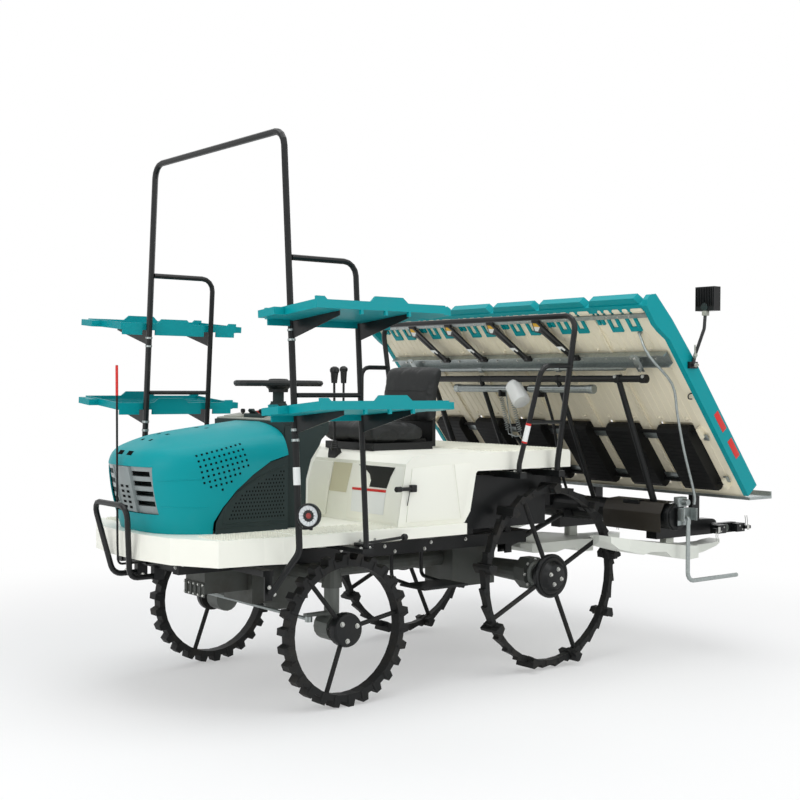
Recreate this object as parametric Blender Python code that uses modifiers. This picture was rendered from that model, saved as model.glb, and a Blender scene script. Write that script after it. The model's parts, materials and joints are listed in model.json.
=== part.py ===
"""Six-row riding rice transplanter, in metres, +X forward, +Y left, +Z up.

Everything is placed from the rear axle, at x = 0 of the empty named machine,
which stands REAR_AXLE_X from the origin so that the origin is below the
middle of the whole machine, on the ground.
"""
import math

import bmesh
import bpy
from mathutils import Matrix, Vector

for old in list(bpy.data.objects):
    bpy.data.objects.remove(old, do_unlink=True)

# Driving sizes of the chassis
REAR_AXLE_X = -0.432
WHEELBASE = 1.228
HALF_TRACK = 0.57
FRONT_WHEEL_RADIUS = 0.329
REAR_WHEEL_RADIUS = 0.455
GAP = 0.0003

GEARBOX_REAR_X = WHEELBASE - 0.108
KINGPIN_Y = 0.470
KINGPIN_TOP_Z = 0.500
KNUCKLE_FACE_Y = 0.515
TIE_ARM = 0.120
TIE_ROD_Z = 0.372

RAIL_Y = 0.265
RAIL_WIDTH = 0.050
RAIL_BOTTOM_Z = 0.585
RAIL_TOP_Z = 0.645
RAIL_REAR_X = -0.110
RAIL_FRONT_X = 1.880
HOOP_ROOT_X = 1.890

FLOOR_TOP_Z = 0.750
FLOOR_SKIRT_Z = 0.700
FLOOR_REAR_X = 0.570
FLOOR_FRONT_X = 1.500
FLOOR_HALF_WIDTH = 0.610
SHEET = 0.008
TREAD_RISE = 0.002

DECK_TOP_Z = 1.070
DECK_SKIRT_Z = 0.985
DECK_HALF_WIDTH = 0.580
DECK_REAR_X = -0.130
DECK_FRONT_X = 0.950
CARRIER_TOP_Z = 0.975
CARRIER_HEIGHT = 0.030
CARRIER_XS = (0.010, 0.264)

# Driving sizes of the racks
ARCH_TUBE = 0.0145
ARCH_X = 1.550
ARCH_FOOT = (1.615, 0.585, 0.520)
ARCH_LOW_Y = 0.700
ARCH_LOW_Z = 0.700
ARCH_TOP_Y = 0.566
ARCH_TOP_Z = 2.436
RACK_TUBE = 0.0125
RACK_X = 1.210
RACK_TOP_Z = 1.906
RUNG_Z = 1.338
TRAY_LEVELS = (("upper", 1.643), ("lower", 1.254))
TRAY_LENGTH = 0.740
TRAY_WIDTH = 0.370
TRAY_FRONT_X = 1.740
TRAY_DEPTH = 0.034
TRAY_NOSE = 0.050
TRAY_TILT = math.radians(5.0)
TRAY_BED = 0.012
TRAY_HUMP = ((1.243, 0.0), (1.269, 0.022), (1.407, 0.022), (1.430, 0.0))

# Driving sizes of the lift and the planting part
LINK_PIVOT = (-0.090, 0.545)
LINK_LENGTH = 0.450
LINK_ANGLE = math.radians(20.0)
UPPER_LINK_RISE = 0.270
LINK_Y = 0.150
LINK_EYE_SHARE = 0.600
CYLINDER_PIVOT = (-0.095, 0.900)
CYLINDER_Y = -0.095
CYLINDER_LENGTH = 0.300

ROW_PITCH = 0.344
CASE_YS = (("left", 2 * ROW_PITCH), ("centre", 0.0), ("right", -2 * ROW_PITCH))
BEAM_X = -0.610
BEAM_Z = 0.730
BEAM_RADIUS = 0.065
BEAM_HALF_LENGTH = 0.860
ROTOR_X = -1.055
ROTOR_Z = 0.645
CASE_RADIUS = 0.040
SHAFT_RADIUS = 0.012

TABLE_TOP = (-0.132, 1.776)
TABLE_BOTTOM = (-0.879, 0.834)
TABLE_HALF_WIDTH = 3 * ROW_PITCH + 0.060
TABLE_SHEET = 0.014
TABLE_RIB = 0.010
BELT_SHAFT_Y = TABLE_HALF_WIDTH - 0.092
GUIDE_TOP_Z = TABLE_BOTTOM[1] - GAP

STAND_Y = BEAM_HALF_LENGTH + 0.040
STAND_BRACKET_Y = BEAM_HALF_LENGTH + 0.012
STAND_PIVOT = (-0.640, 0.730)
STAND_FOOT_Z = 0.411
STAND_FOOT_X = -1.030
STAND_TUBE = 0.011


def collection(name):
    made = bpy.data.collections.new(name)
    bpy.context.scene.collection.children.link(made)
    return made


PARTS = collection("rice_transplanter")
CUTTERS = collection("cutters")
MACHINE = bpy.data.objects.new("machine", None)
MACHINE.location = (REAR_AXLE_X, 0.0, 0.0)
PARTS.objects.link(MACHINE)


def material(name, colour, roughness=0.5, metallic=0.0):
    made = bpy.data.materials.new(name)
    made.use_nodes = True
    shader = made.node_tree.nodes["Principled BSDF"]
    shader.inputs["Base Color"].default_value = (*colour, 1.0)
    shader.inputs["Roughness"].default_value = roughness
    shader.inputs["Metallic"].default_value = metallic
    made.diffuse_color = (*colour, 1.0)
    return made


TEAL = material("teal_plastic", (0.015, 0.36, 0.38), 0.35)
CREAM = material("cream_plastic", (0.86, 0.86, 0.76), 0.45)
BLACK = material("black_paint", (0.02, 0.02, 0.022), 0.40)
RUBBER = material("black_rubber", (0.015, 0.015, 0.016), 0.75)
VINYL = material("black_vinyl", (0.018, 0.018, 0.020), 0.55)
DARK = material("dark_grey_plastic", (0.045, 0.055, 0.058), 0.50)
SILVER = material("silver_grey_plastic", (0.28, 0.31, 0.31), 0.40)
CASTING = material("grey_casting", (0.30, 0.31, 0.31), 0.50, 0.6)
ZINC = material("galvanised_steel", (0.55, 0.57, 0.58), 0.35, 0.9)


def new_object(name, mesh):
    made = bpy.data.objects.new(name, mesh)
    CUTTERS.objects.link(made)
    return made


def from_bmesh(name, work, turn_out=True):
    mesh = bpy.data.meshes.new(name)
    if turn_out:
        work.normal_update()
        bmesh.ops.recalc_face_normals(work, faces=work.faces)
    work.to_mesh(mesh)
    work.free()
    return new_object(name, mesh)


def block(xs, ys, zs):
    """A box between the low and high values of each axis."""
    work = bmesh.new()
    bmesh.ops.create_cube(work, size=1.0)
    for vert in work.verts:
        for axis, (low, high) in enumerate((xs, ys, zs)):
            vert.co[axis] = low + (vert.co[axis] + 0.5) * (high - low)
    return from_bmesh("block", work)


def rod(start, end, radius, end_radius=None, sides=12):
    """A straight round bar or cone between two points."""
    start, end = Vector(start), Vector(end)
    work = bmesh.new()
    bmesh.ops.create_cone(
        work, cap_ends=True, segments=sides, radius1=radius,
        radius2=radius if end_radius is None else end_radius, depth=(end - start).length)
    turn = (end - start).to_track_quat("Z", "Y").to_matrix().to_4x4()
    work.transform(Matrix.Translation((start + end) / 2) @ turn)
    return from_bmesh("rod", work)


def rounded(points, radius, steps=4):
    """The same path with each inner corner turned into an arc."""
    points = [Vector(p) for p in points]
    path = [points[0]]
    for before, corner, after in zip(points, points[1:], points[2:]):
        back = (before - corner).normalized()
        on = (after - corner).normalized()
        half = back.angle(on) / 2
        reach = min(radius / math.tan(half), 0.45 * (before - corner).length,
                    0.45 * (after - corner).length)
        centre = corner + (back + on).normalized() * reach / math.cos(half)
        first, last = corner + back * reach - centre, corner + on * reach - centre
        for step in range(steps + 1):
            path.append(centre + first.normalized().slerp(last.normalized(), step / steps) * first.length)
    path.append(points[-1])
    return path


def pipe(points, radius, bend=0.0, steps=4, resolution=2, closed=False):
    """A tube as a bevelled curve, made a mesh with its caps welded."""
    path = rounded(points, bend, steps) if bend else [Vector(p) for p in points]
    curve = bpy.data.curves.new("pipe", "CURVE")
    curve.dimensions = "3D"
    curve.bevel_depth = radius
    curve.bevel_resolution = resolution
    curve.use_fill_caps = not closed
    spline = curve.splines.new("POLY")
    spline.points.add(len(path) - 1)
    for point, place in zip(spline.points, path):
        point.co = (*place, 1.0)
    spline.use_cyclic_u = closed
    return curve_mesh(curve)


def curve_mesh(curve, turn=Matrix()):
    guide = new_object("guide", curve)
    guide.matrix_world = turn
    bpy.context.view_layer.update()
    seen = guide.evaluated_get(bpy.context.evaluated_depsgraph_get())
    mesh = bpy.data.meshes.new_from_object(seen)
    bpy.data.objects.remove(guide)
    work = bmesh.new()
    work.from_mesh(mesh)
    work.transform(turn)
    bmesh.ops.remove_doubles(work, verts=work.verts, dist=0.00001)
    bpy.data.meshes.remove(mesh)
    return from_bmesh("curve_mesh", work)


# A plate's outline is drawn in the plane across its axis: x-z for Y, y-z for X, x-y for Z
PLANES = {
    "X": Matrix(((0, 0, 1, 0), (1, 0, 0, 0), (0, 1, 0, 0), (0, 0, 0, 1))),
    "Y": Matrix(((1, 0, 0, 0), (0, 0, 1, 0), (0, 1, 0, 0), (0, 0, 0, 1))),
    "Z": Matrix(),
}


def plate(outline, axis, low, high, holes=()):
    """A flat outline, with holes, extruded along an axis from low to high."""
    curve = bpy.data.curves.new("plate", "CURVE")
    curve.dimensions = "2D"
    curve.fill_mode = "BOTH"
    curve.extrude = (high - low) / 2
    for ring in (outline, *holes):
        spline = curve.splines.new("POLY")
        spline.points.add(len(ring) - 1)
        for point, (across, up) in zip(spline.points, ring):
            point.co = (across, up, 0.0, 1.0)
        spline.use_cyclic_u = True
    return curve_mesh(curve, PLANES[axis] @ Matrix.Translation((0, 0, (low + high) / 2)))


def circle(centre, radius, sides=16, phase=0.0):
    return [(centre[0] + radius * math.cos(phase + 2 * math.pi * i / sides),
             centre[1] + radius * math.sin(phase + 2 * math.pi * i / sides))
            for i in range(sides)]


def shift(piece, offset):
    piece.data.transform(Matrix.Translation(offset))
    return piece


def spin(piece, angle, axis="Y", about=(0, 0, 0)):
    move = Matrix.Translation(about)
    piece.data.transform(move @ Matrix.Rotation(angle, 4, axis) @ move.inverted())
    return piece


def mirrored(piece):
    """A copy of a shape on the other side of the machine."""
    work = bmesh.new()
    work.from_mesh(piece.data)
    work.transform(Matrix.Scale(-1, 4, (0, 1, 0)))
    bmesh.ops.reverse_faces(work, faces=work.faces)
    return from_bmesh("mirrored", work, turn_out=False)


def both(piece):
    return [piece, mirrored(piece)]


def boolean(piece, other, operation):
    modifier = piece.modifiers.new("boolean", "BOOLEAN")
    modifier.operation = operation
    modifier.solver = "EXACT"
    modifier.object = other
    bpy.context.view_layer.update()
    seen = piece.evaluated_get(bpy.context.evaluated_depsgraph_get())
    mesh = bpy.data.meshes.new_from_object(seen)
    bpy.data.objects.remove(piece)
    bpy.data.objects.remove(other)
    return new_object("joined", mesh)


def union(pieces):
    whole = pieces[0]
    for piece in pieces[1:]:
        whole = boolean(whole, piece, "UNION")
    return whole


def carve(piece, cutters):
    return boolean(piece, union(list(cutters)), "DIFFERENCE")


def place(name, piece, finish, pivot=(0, 0, 0)):
    """Names a finished piece, with its origin at its pivot, on the machine."""
    pivot = Vector(pivot)
    work = bmesh.new()
    work.from_mesh(piece.data)
    bmesh.ops.remove_doubles(work, verts=work.verts, dist=0.00001)
    bmesh.ops.dissolve_limit(
        work, angle_limit=math.radians(0.05), verts=work.verts, edges=work.edges)
    bmesh.ops.triangulate(work, faces=work.faces)
    work.transform(Matrix.Translation(-pivot))
    mesh = bpy.data.meshes.new(name)
    work.to_mesh(mesh)
    work.free()
    bpy.data.objects.remove(piece)
    mesh.materials.append(finish)
    mesh.shade_smooth()
    mesh.set_sharp_from_angle(angle=math.radians(35))
    made = bpy.data.objects.new(name, mesh)
    PARTS.objects.link(made)
    made.parent = MACHINE
    made.location = pivot
    return made


# Wheels

def toothed(radius, root, teeth, share, sharp):
    """A ring's outer outline: the share of each pitch at full radius is a lug."""
    ring = []
    pitch = 2 * math.pi / teeth
    for tooth in range(teeth):
        start = tooth * pitch
        corners = ((0.0, root), (0.12, radius), (0.12 + share, radius), (0.24 + share, root))
        if sharp:
            corners = ((0.0, root), (share, radius), (share + 0.05, root))
        ring += [(r * math.cos(start + part * pitch), r * math.sin(start + part * pitch))
                 for part, r in corners]
    return ring


def front_wheel(side):
    ring = plate(
        toothed(FRONT_WHEEL_RADIUS, 0.303, 26, 0.36, False), "Y", -0.029, 0.029,
        holes=(circle((0, 0), 0.276, 36),))
    hub = rod((0, side * (KNUCKLE_FACE_Y + GAP - HALF_TRACK), 0), (0, side * 0.030, 0), 0.048,
              sides=20)
    flange = rod((0, side * -0.020, 0), (0, side * -0.002, 0), 0.072, sides=20)
    spokes = []
    for turn in range(3):
        angle = math.radians(170 - 120 * turn)
        spokes.append(rod(
            (0.030 * math.cos(angle), 0, 0.030 * math.sin(angle)),
            (0.290 * math.cos(angle), 0, 0.290 * math.sin(angle)), 0.0105, sides=10))
    return union([ring, hub, flange, *spokes])


def rear_wheel(side):
    ring = plate(
        toothed(0.446, 0.433, 32, 0.70, True), "Y", -0.019, 0.019,
        holes=(circle((0, 0), 0.409, 40),))
    pieces = [ring]
    for paddle in range(9):
        angle = math.radians(40 * paddle + 10)
        blade = plate(((0.405, -0.012), (0.432, -0.030), (REAR_WHEEL_RADIUS, -0.004),
                       (REAR_WHEEL_RADIUS, 0.010), (0.405, 0.016)), "Y", -0.058, 0.058)
        pieces.append(spin(blade, -angle))
    for turn in range(4):
        angle = math.radians(65 + 90 * turn)
        pieces.append(rod(
            (0.050 * math.cos(angle), 0, 0.050 * math.sin(angle)),
            (0.420 * math.cos(angle), 0, 0.420 * math.sin(angle)), 0.0115, sides=10))
    pieces.append(rod((0, side * (0.4703 - HALF_TRACK), 0), (0, side * 0.045, 0), 0.042, sides=20))
    pieces.append(rod((0, side * -0.016, 0), (0, side * 0.022, 0), 0.088, sides=24))
    return union(pieces)


for word, side in (("left", 1), ("right", -1)):
    place(f"front_wheel_{word}", shift(front_wheel(side), (WHEELBASE, side * HALF_TRACK, FRONT_WHEEL_RADIUS)),
          RUBBER, (WHEELBASE, side * HALF_TRACK, FRONT_WHEEL_RADIUS))
    place(f"rear_wheel_{word}", shift(rear_wheel(side), (0, side * HALF_TRACK, REAR_WHEEL_RADIUS)),
          RUBBER, (0, side * HALF_TRACK, REAR_WHEEL_RADIUS))


# Front axle, knuckles and tie rod

def front_axle():
    gearbox = block((GEARBOX_REAR_X, WHEELBASE + 0.192), (-0.125, 0.125), (0.395, RAIL_BOTTOM_Z - GAP))
    nose = block((WHEELBASE + 0.172, WHEELBASE + 0.412), (-0.085, 0.085), (0.455, 0.570))
    sump = rod((WHEELBASE - 0.028, 0, 0.345), (WHEELBASE - 0.028, 0, 0.410), 0.065, 0.090)
    arms = both(rod((WHEELBASE, 0.100, 0.545), (WHEELBASE, KINGPIN_Y, 0.545), 0.042, 0.036, 16))
    sleeves = both(rod((WHEELBASE, KINGPIN_Y, KINGPIN_TOP_Z), (WHEELBASE, KINGPIN_Y, 0.590),
                       0.046, 0.040, 16))
    return union([gearbox, nose, sump, *arms, *sleeves])


place("front_axle", front_axle(), CASTING)

for word, side in (("left", 1), ("right", -1)):
    post = rod((WHEELBASE, side * KINGPIN_Y, 0.300),
               (WHEELBASE, side * KINGPIN_Y, KINGPIN_TOP_Z - GAP), 0.034, sides=16)
    case = rod((WHEELBASE, side * 0.418, FRONT_WHEEL_RADIUS),
               (WHEELBASE, side * KNUCKLE_FACE_Y, FRONT_WHEEL_RADIUS), 0.060, sides=16)
    arm = plate(((WHEELBASE + 0.02, side * (KINGPIN_Y - 0.022)),
                 (WHEELBASE + TIE_ARM + 0.018, side * (KINGPIN_Y - 0.016)),
                 (WHEELBASE + TIE_ARM + 0.018, side * (KINGPIN_Y + 0.016)),
                 (WHEELBASE + 0.02, side * (KINGPIN_Y + 0.022))), "Z", TIE_ROD_Z + 0.012 + GAP,
                TIE_ROD_Z + 0.024)
    place(f"knuckle_{word}", union([post, case, arm]), CASTING,
          (WHEELBASE, side * KINGPIN_Y, FRONT_WHEEL_RADIUS))

tie_eyes = both(rod((WHEELBASE + TIE_ARM, KINGPIN_Y, TIE_ROD_Z - 0.012),
                    (WHEELBASE + TIE_ARM, KINGPIN_Y, TIE_ROD_Z + 0.012), 0.016))
place("tie_rod", union([rod((WHEELBASE + TIE_ARM, -KINGPIN_Y, TIE_ROD_Z),
                            (WHEELBASE + TIE_ARM, KINGPIN_Y, TIE_ROD_Z), 0.008), *tie_eyes]),
      ZINC, (WHEELBASE + TIE_ARM, KINGPIN_Y, TIE_ROD_Z))


# Rear axle

def rear_axle():
    box = block((-0.055, 0.230), (-0.110, 0.110), (0.360, RAIL_BOTTOM_Z - GAP))
    pieces = [box]
    outer = circle((0.0, REAR_WHEEL_RADIUS), 0.082, 8, math.radians(22.5))
    pieces += both(plate(outer, "Y", 0.395, 0.470))
    pieces += both(rod((0, 0.100, REAR_WHEEL_RADIUS), (0, 0.400, REAR_WHEEL_RADIUS), 0.045, 0.055, 16))
    pieces.append(rod((0.220, 0, 0.500), (GEARBOX_REAR_X - GAP, 0, 0.500), 0.040, sides=12))
    return union(pieces)


place("rear_axle_case", rear_axle(), CASTING)


# Chassis frame

def chassis_frame():
    half = RAIL_WIDTH / 2
    pieces = both(block((RAIL_REAR_X, RAIL_FRONT_X), (RAIL_Y - half, RAIL_Y + half),
                        (RAIL_BOTTOM_Z, RAIL_TOP_Z)))
    for x in (RAIL_REAR_X + 0.012, 0.400, 0.900, 1.460, RAIL_FRONT_X - 0.045):
        pieces.append(block((x, x + 0.040), (-RAIL_Y, RAIL_Y), (0.592, 0.638)))
    # The arch feet and the rack feet stand on outriggers
    pieces += both(block((1.590, 1.640), (RAIL_Y, 0.568), (0.5900, 0.6150)))
    pieces += both(block((1.597, 1.633), (0.5600, 0.5702), (0.490, 0.612)))
    pieces += both(block((RACK_X - 0.025, RACK_X + 0.035), (RAIL_Y, 0.718), (0.672, 0.690)))
    pieces += both(block((RACK_X - 0.025, RACK_X + 0.035), (RAIL_Y - 0.015, RAIL_Y + 0.015),
                         (0.630, 0.680)))
    # The hoop and the marker pole start from stubs on the front crossbar
    pieces += both(block((RAIL_FRONT_X - 0.038, HOOP_ROOT_X), (0.062, 0.094), (0.542, 0.600)))
    pieces.append(block((RAIL_FRONT_X - 0.010, HOOP_ROOT_X), (-0.014, 0.014), (0.600, 0.622)))
    # The rear deck rests on two carriers, each on a pair of posts
    for x in CARRIER_XS:
        pieces.append(block((x - 0.020, x + 0.020), (-0.660, 0.660),
                            (CARRIER_TOP_Z - CARRIER_HEIGHT, CARRIER_TOP_Z)))
        pieces += both(block((x - 0.018, x + 0.018), (RAIL_Y - 0.018, RAIL_Y + 0.018),
                             (0.640, CARRIER_TOP_Z - 0.010)))
    # A guard plate inside each rear wheel hangs under the carriers
    pieces += both(plate([(-0.060, 0.700), (-0.060, CARRIER_TOP_Z - CARRIER_HEIGHT + 0.010),
                          (0.470, CARRIER_TOP_Z - CARRIER_HEIGHT + 0.010), (0.500, 0.760), (0.440, 0.700)],
                         "Y", 0.470, 0.476))
    # A tread on two hangers below each side of the floor
    pieces += both(block((0.520, 0.780), (0.380, 0.560), (0.452, 0.462)))
    for x in (0.560, 0.740):
        pieces += both(pipe([(x, RAIL_Y, RAIL_BOTTOM_Z + 0.010), (x, RAIL_Y, 0.470), (x, 0.400, 0.457)],
                            0.009, 0.03))
    # Brackets for the lift links and the cylinder
    px, pz = LINK_PIVOT
    lugs = []
    for y in (LINK_Y + 0.0203, LINK_Y - 0.0303):
        lugs += both(block((px - 0.022, px + 0.022), (y, y + 0.010), (pz - 0.025, 0.640)))
    pieces += lugs
    pieces.append(block((px + 0.030, px + 0.065), (-0.125, 0.032), (0.630, CARRIER_TOP_Z - 0.004)))
    pieces.append(block((px + 0.040, CARRIER_XS[0]), (-0.120, 0.030),
                        (CARRIER_TOP_Z - 0.026, CARRIER_TOP_Z - 0.006)))
    upper = pz + UPPER_LINK_RISE
    for y in (0.0203, -0.0303):
        pieces.append(block((px - 0.022, px + 0.045), (y, y + 0.010), (upper - 0.022, upper + 0.022)))
    cx, cz = CYLINDER_PIVOT
    pieces.append(block((cx - 0.020, px + 0.045), (CYLINDER_Y - 0.030, CYLINDER_Y - 0.0203),
                        (cz - 0.020, cz + 0.020)))
    return union(pieces)


place("chassis_frame", chassis_frame(), BLACK)


# Lift links and cylinder

def along_link(distance, rise=0.0):
    """A point of a lift link at rest, in x and z, and in the upper link with a rise."""
    return (LINK_PIVOT[0] - distance * math.cos(LINK_ANGLE),
            LINK_PIVOT[1] + rise + distance * math.sin(LINK_ANGLE))


def at_y(point, y):
    return (point[0], y, point[1])


HITCH = along_link(LINK_LENGTH)
UPPER_HITCH = along_link(LINK_LENGTH, UPPER_LINK_RISE)
EYE = along_link(LINK_LENGTH * LINK_EYE_SHARE)


def lower_link():
    pieces = []
    for end in (LINK_PIVOT, HITCH):
        pieces += both(rod(at_y(end, LINK_Y - 0.020), at_y(end, LINK_Y + 0.020), 0.020))
    pieces += both(rod(at_y(along_link(0.012), LINK_Y), at_y(along_link(LINK_LENGTH - 0.012), LINK_Y),
                       0.0145))
    bar = along_link(0.42 * LINK_LENGTH)
    pieces.append(rod(at_y(bar, -LINK_Y), at_y(bar, LINK_Y), 0.0160))
    lug = block((EYE[0] - 0.018, bar[0] + 0.006), (CYLINDER_Y - 0.030, CYLINDER_Y - 0.0203),
                (EYE[1] - 0.016, EYE[1] + 0.016))
    slope = block((EYE[0] + 0.004, bar[0] + 0.010), (CYLINDER_Y - 0.030, CYLINDER_Y - 0.0203),
                  (bar[1] - 0.012, EYE[1] + 0.010))
    return union([*pieces, lug, slope])


place("lift_lower_link", lower_link(), BLACK, at_y(LINK_PIVOT, 0))


def upper_link():
    start, end = along_link(0, UPPER_LINK_RISE), UPPER_HITCH
    pieces = [rod(at_y(point, -0.020), at_y(point, 0.020), 0.020) for point in (start, end)]
    pieces.append(rod(at_y(along_link(0.010, UPPER_LINK_RISE), 0),
                      at_y(along_link(LINK_LENGTH - 0.010, UPPER_LINK_RISE), 0), 0.013))
    return union(pieces)


place("lift_upper_link", upper_link(), BLACK, at_y(along_link(0, UPPER_LINK_RISE), 0))

CYLINDER_START = Vector(at_y(CYLINDER_PIVOT, CYLINDER_Y))
CYLINDER_WAY = (Vector(at_y(EYE, CYLINDER_Y)) - CYLINDER_START).normalized()
EYE_REACH = (Vector(at_y(EYE, CYLINDER_Y)) - CYLINDER_START).length


def on_cylinder(distance):
    return CYLINDER_START + CYLINDER_WAY * distance


def lift_cylinder():
    eye = rod(CYLINDER_START - Vector((0, 0.020, 0)), CYLINDER_START + Vector((0, 0.020, 0)), 0.018)
    neck = rod(on_cylinder(0.008), on_cylinder(0.050), 0.015)
    barrel = rod(on_cylinder(0.044), on_cylinder(CYLINDER_LENGTH), 0.025, sides=16)
    bore = rod(on_cylinder(0.060), on_cylinder(CYLINDER_LENGTH + 0.02), 0.0125, sides=12)
    return carve(union([eye, neck, barrel]), [bore])


place("lift_cylinder", lift_cylinder(), BLACK, CYLINDER_START)

rod_eye = rod(on_cylinder(EYE_REACH) - Vector((0, 0.020, 0)),
              on_cylinder(EYE_REACH) + Vector((0, 0.020, 0)), 0.016)
place("lift_rod", union([rod(on_cylinder(0.066), on_cylinder(EYE_REACH - 0.006), 0.0122), rod_eye]),
      ZINC, on_cylinder(EYE_REACH))


# Planting part

def table_point(s, n):
    """A point s down the table's underside from its top and n out of it, in x and z."""
    length = math.hypot(TABLE_TOP[0] - TABLE_BOTTOM[0], TABLE_TOP[1] - TABLE_BOTTOM[1])
    way = ((TABLE_BOTTOM[0] - TABLE_TOP[0]) / length, (TABLE_BOTTOM[1] - TABLE_TOP[1]) / length)
    return (TABLE_TOP[0] + s * way[0] - n * way[1], TABLE_TOP[1] + s * way[1] + n * way[0])


TABLE_LENGTH = math.hypot(TABLE_TOP[0] - TABLE_BOTTOM[0], TABLE_TOP[1] - TABLE_BOTTOM[1])
CROSS_TUBE = table_point(0.395, 0.075)
UPRIGHT_ROOT = (BEAM_X + 0.010, BEAM_Z + 0.050)
FEED_TUBE_Z = 1.368

# Outlines on the table's underside are drawn as y and s
WAY = ((TABLE_BOTTOM[0] - TABLE_TOP[0]) / TABLE_LENGTH, (TABLE_BOTTOM[1] - TABLE_TOP[1]) / TABLE_LENGTH)
PLANES["slope"] = Matrix(((0, WAY[0], -WAY[1], TABLE_TOP[0]), (1, 0, 0, 0),
                          (0, WAY[1], WAY[0], TABLE_TOP[1]), (0, 0, 0, 1)))


def table_slab(s0, s1, n0, n1, y0, y1):
    """A box that lies along the table's slope."""
    return plate([table_point(s0, n0), table_point(s1, n0), table_point(s1, n1),
                  table_point(s0, n1)], "Y", y0, y1)


def planter_frame():
    pieces = [rod((BEAM_X, -BEAM_HALF_LENGTH, BEAM_Z), (BEAM_X, BEAM_HALF_LENGTH, BEAM_Z),
                  BEAM_RADIUS, sides=20)]
    for y in (LINK_Y + 0.0203, LINK_Y - 0.0303):
        pieces += both(block((BEAM_X, HITCH[0] + 0.020), (y, y + 0.010),
                             (HITCH[1] - 0.018, HITCH[1] + 0.018)))
    pieces.append(block((BEAM_X - 0.010, UPPER_HITCH[0] - 0.0225), (-0.0303, 0.0303),
                        (BEAM_Z, UPPER_HITCH[1] + 0.020)))
    for y in (0.0203, -0.0303):
        pieces.append(block((BEAM_X - 0.010, UPPER_HITCH[0] + 0.018), (y, y + 0.010),
                            (UPPER_HITCH[1] - 0.018, UPPER_HITCH[1] + 0.018)))
    for word, y in CASE_YS:
        arc = [(ROTOR_X - CASE_RADIUS * math.sin(math.pi * i / 8),
                ROTOR_Z + CASE_RADIUS * math.cos(math.pi * i / 8))
               for i in range(9)]
        outline = [(BEAM_X, BEAM_Z - 0.030), *arc, (BEAM_X, ROTOR_Z - CASE_RADIUS)]
        pieces.append(plate(outline, "Y", y - 0.034, y + 0.034))
        pieces.append(block((-0.975, -0.915), (y - 0.012, y + 0.012),
                            (ROTOR_Z + 0.020, GUIDE_TOP_Z - 0.014 - GAP)))
    pieces += both(rod(at_y(UPRIGHT_ROOT, 0.720), at_y(CROSS_TUBE, 0.720), 0.018, 0.015))
    pieces += both(rod(at_y(UPRIGHT_ROOT, 0.300), at_y(CROSS_TUBE, 0.300), 0.013))
    pieces.append(rod(at_y(CROSS_TUBE, -0.900), at_y(CROSS_TUBE, 0.900), 0.017))
    # Two tubes on one shaft cover the feed between the inner uprights
    share = (FEED_TUBE_Z - UPRIGHT_ROOT[1]) / (CROSS_TUBE[1] - UPRIGHT_ROOT[1])
    tube = (UPRIGHT_ROOT[0] + share * (CROSS_TUBE[0] - UPRIGHT_ROOT[0]), FEED_TUBE_Z)
    pieces += both(rod(at_y(tube, 0.070), at_y(tube, 0.530), 0.020))
    pieces.append(rod(at_y(tube, -0.080), at_y(tube, 0.080), 0.009, sides=8))
    pieces += both(block((STAND_PIVOT[0] - 0.045, STAND_PIVOT[0] + 0.045),
                         (STAND_BRACKET_Y - 0.022, STAND_BRACKET_Y),
                         (STAND_PIVOT[1] - 0.045, STAND_PIVOT[1] + 0.045)))
    # Each bore's flats clear the corners of its turning shaft
    bore = (SHAFT_RADIUS + GAP) / math.cos(math.pi / 12)
    shafts = [rod((ROTOR_X, y - 0.05, ROTOR_Z), (ROTOR_X, y + 0.05, ROTOR_Z), bore, sides=12)
              for word, y in CASE_YS]
    return carve(union(pieces), shafts)


place("planter_frame", planter_frame(), BLACK, at_y(HITCH, 0))

GUIDE_HALF = TABLE_HALF_WIDTH + 0.008
GUIDE_REAR_X = TABLE_BOTTOM[0] - 0.166
rail = union([
    block((GUIDE_REAR_X, TABLE_BOTTOM[0] + 0.014), (-GUIDE_HALF, GUIDE_HALF),
          (GUIDE_TOP_Z - 0.014, GUIDE_TOP_Z)),
    block((GUIDE_REAR_X, GUIDE_REAR_X + 0.007), (-GUIDE_HALF, GUIDE_HALF),
          (GUIDE_TOP_Z - 0.010, GUIDE_TOP_Z + 0.022))])
place("table_guide_rail", rail, ZINC)


def rotor(y):
    """Two rotor cases on one shaft, each with a planting arm and claw at both ends."""
    pieces = [rod((ROTOR_X, y - 0.100, ROTOR_Z), (ROTOR_X, y + 0.100, ROTOR_Z), SHAFT_RADIUS)]
    for side in (1, -1):
        pieces.append(block((ROTOR_X - 0.085, ROTOR_X + 0.085), sorted((y + side * 0.088, y + side * 0.120)),
                            (ROTOR_Z - 0.026, ROTOR_Z + 0.026)))
        for end in (1, -1):
            low, high = sorted((ROTOR_X + end * 0.045, ROTOR_X + end * 0.110))
            pieces.append(block((low, high), sorted((y + side * 0.115, y + side * 0.160)),
                                (ROTOR_Z - 0.022, ROTOR_Z + 0.022)))
            low, high = sorted((ROTOR_X + end * 0.100, ROTOR_X + end * 0.146))
            pieces.append(block((low, high), sorted((y + side * 0.150, y + side * 0.172)),
                                (ROTOR_Z - 0.008, ROTOR_Z + 0.008)))
    return union(pieces)


for word, y in CASE_YS:
    place(f"planting_rotor_{word}", rotor(y), CREAM, (ROTOR_X, y, ROTOR_Z))


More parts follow.
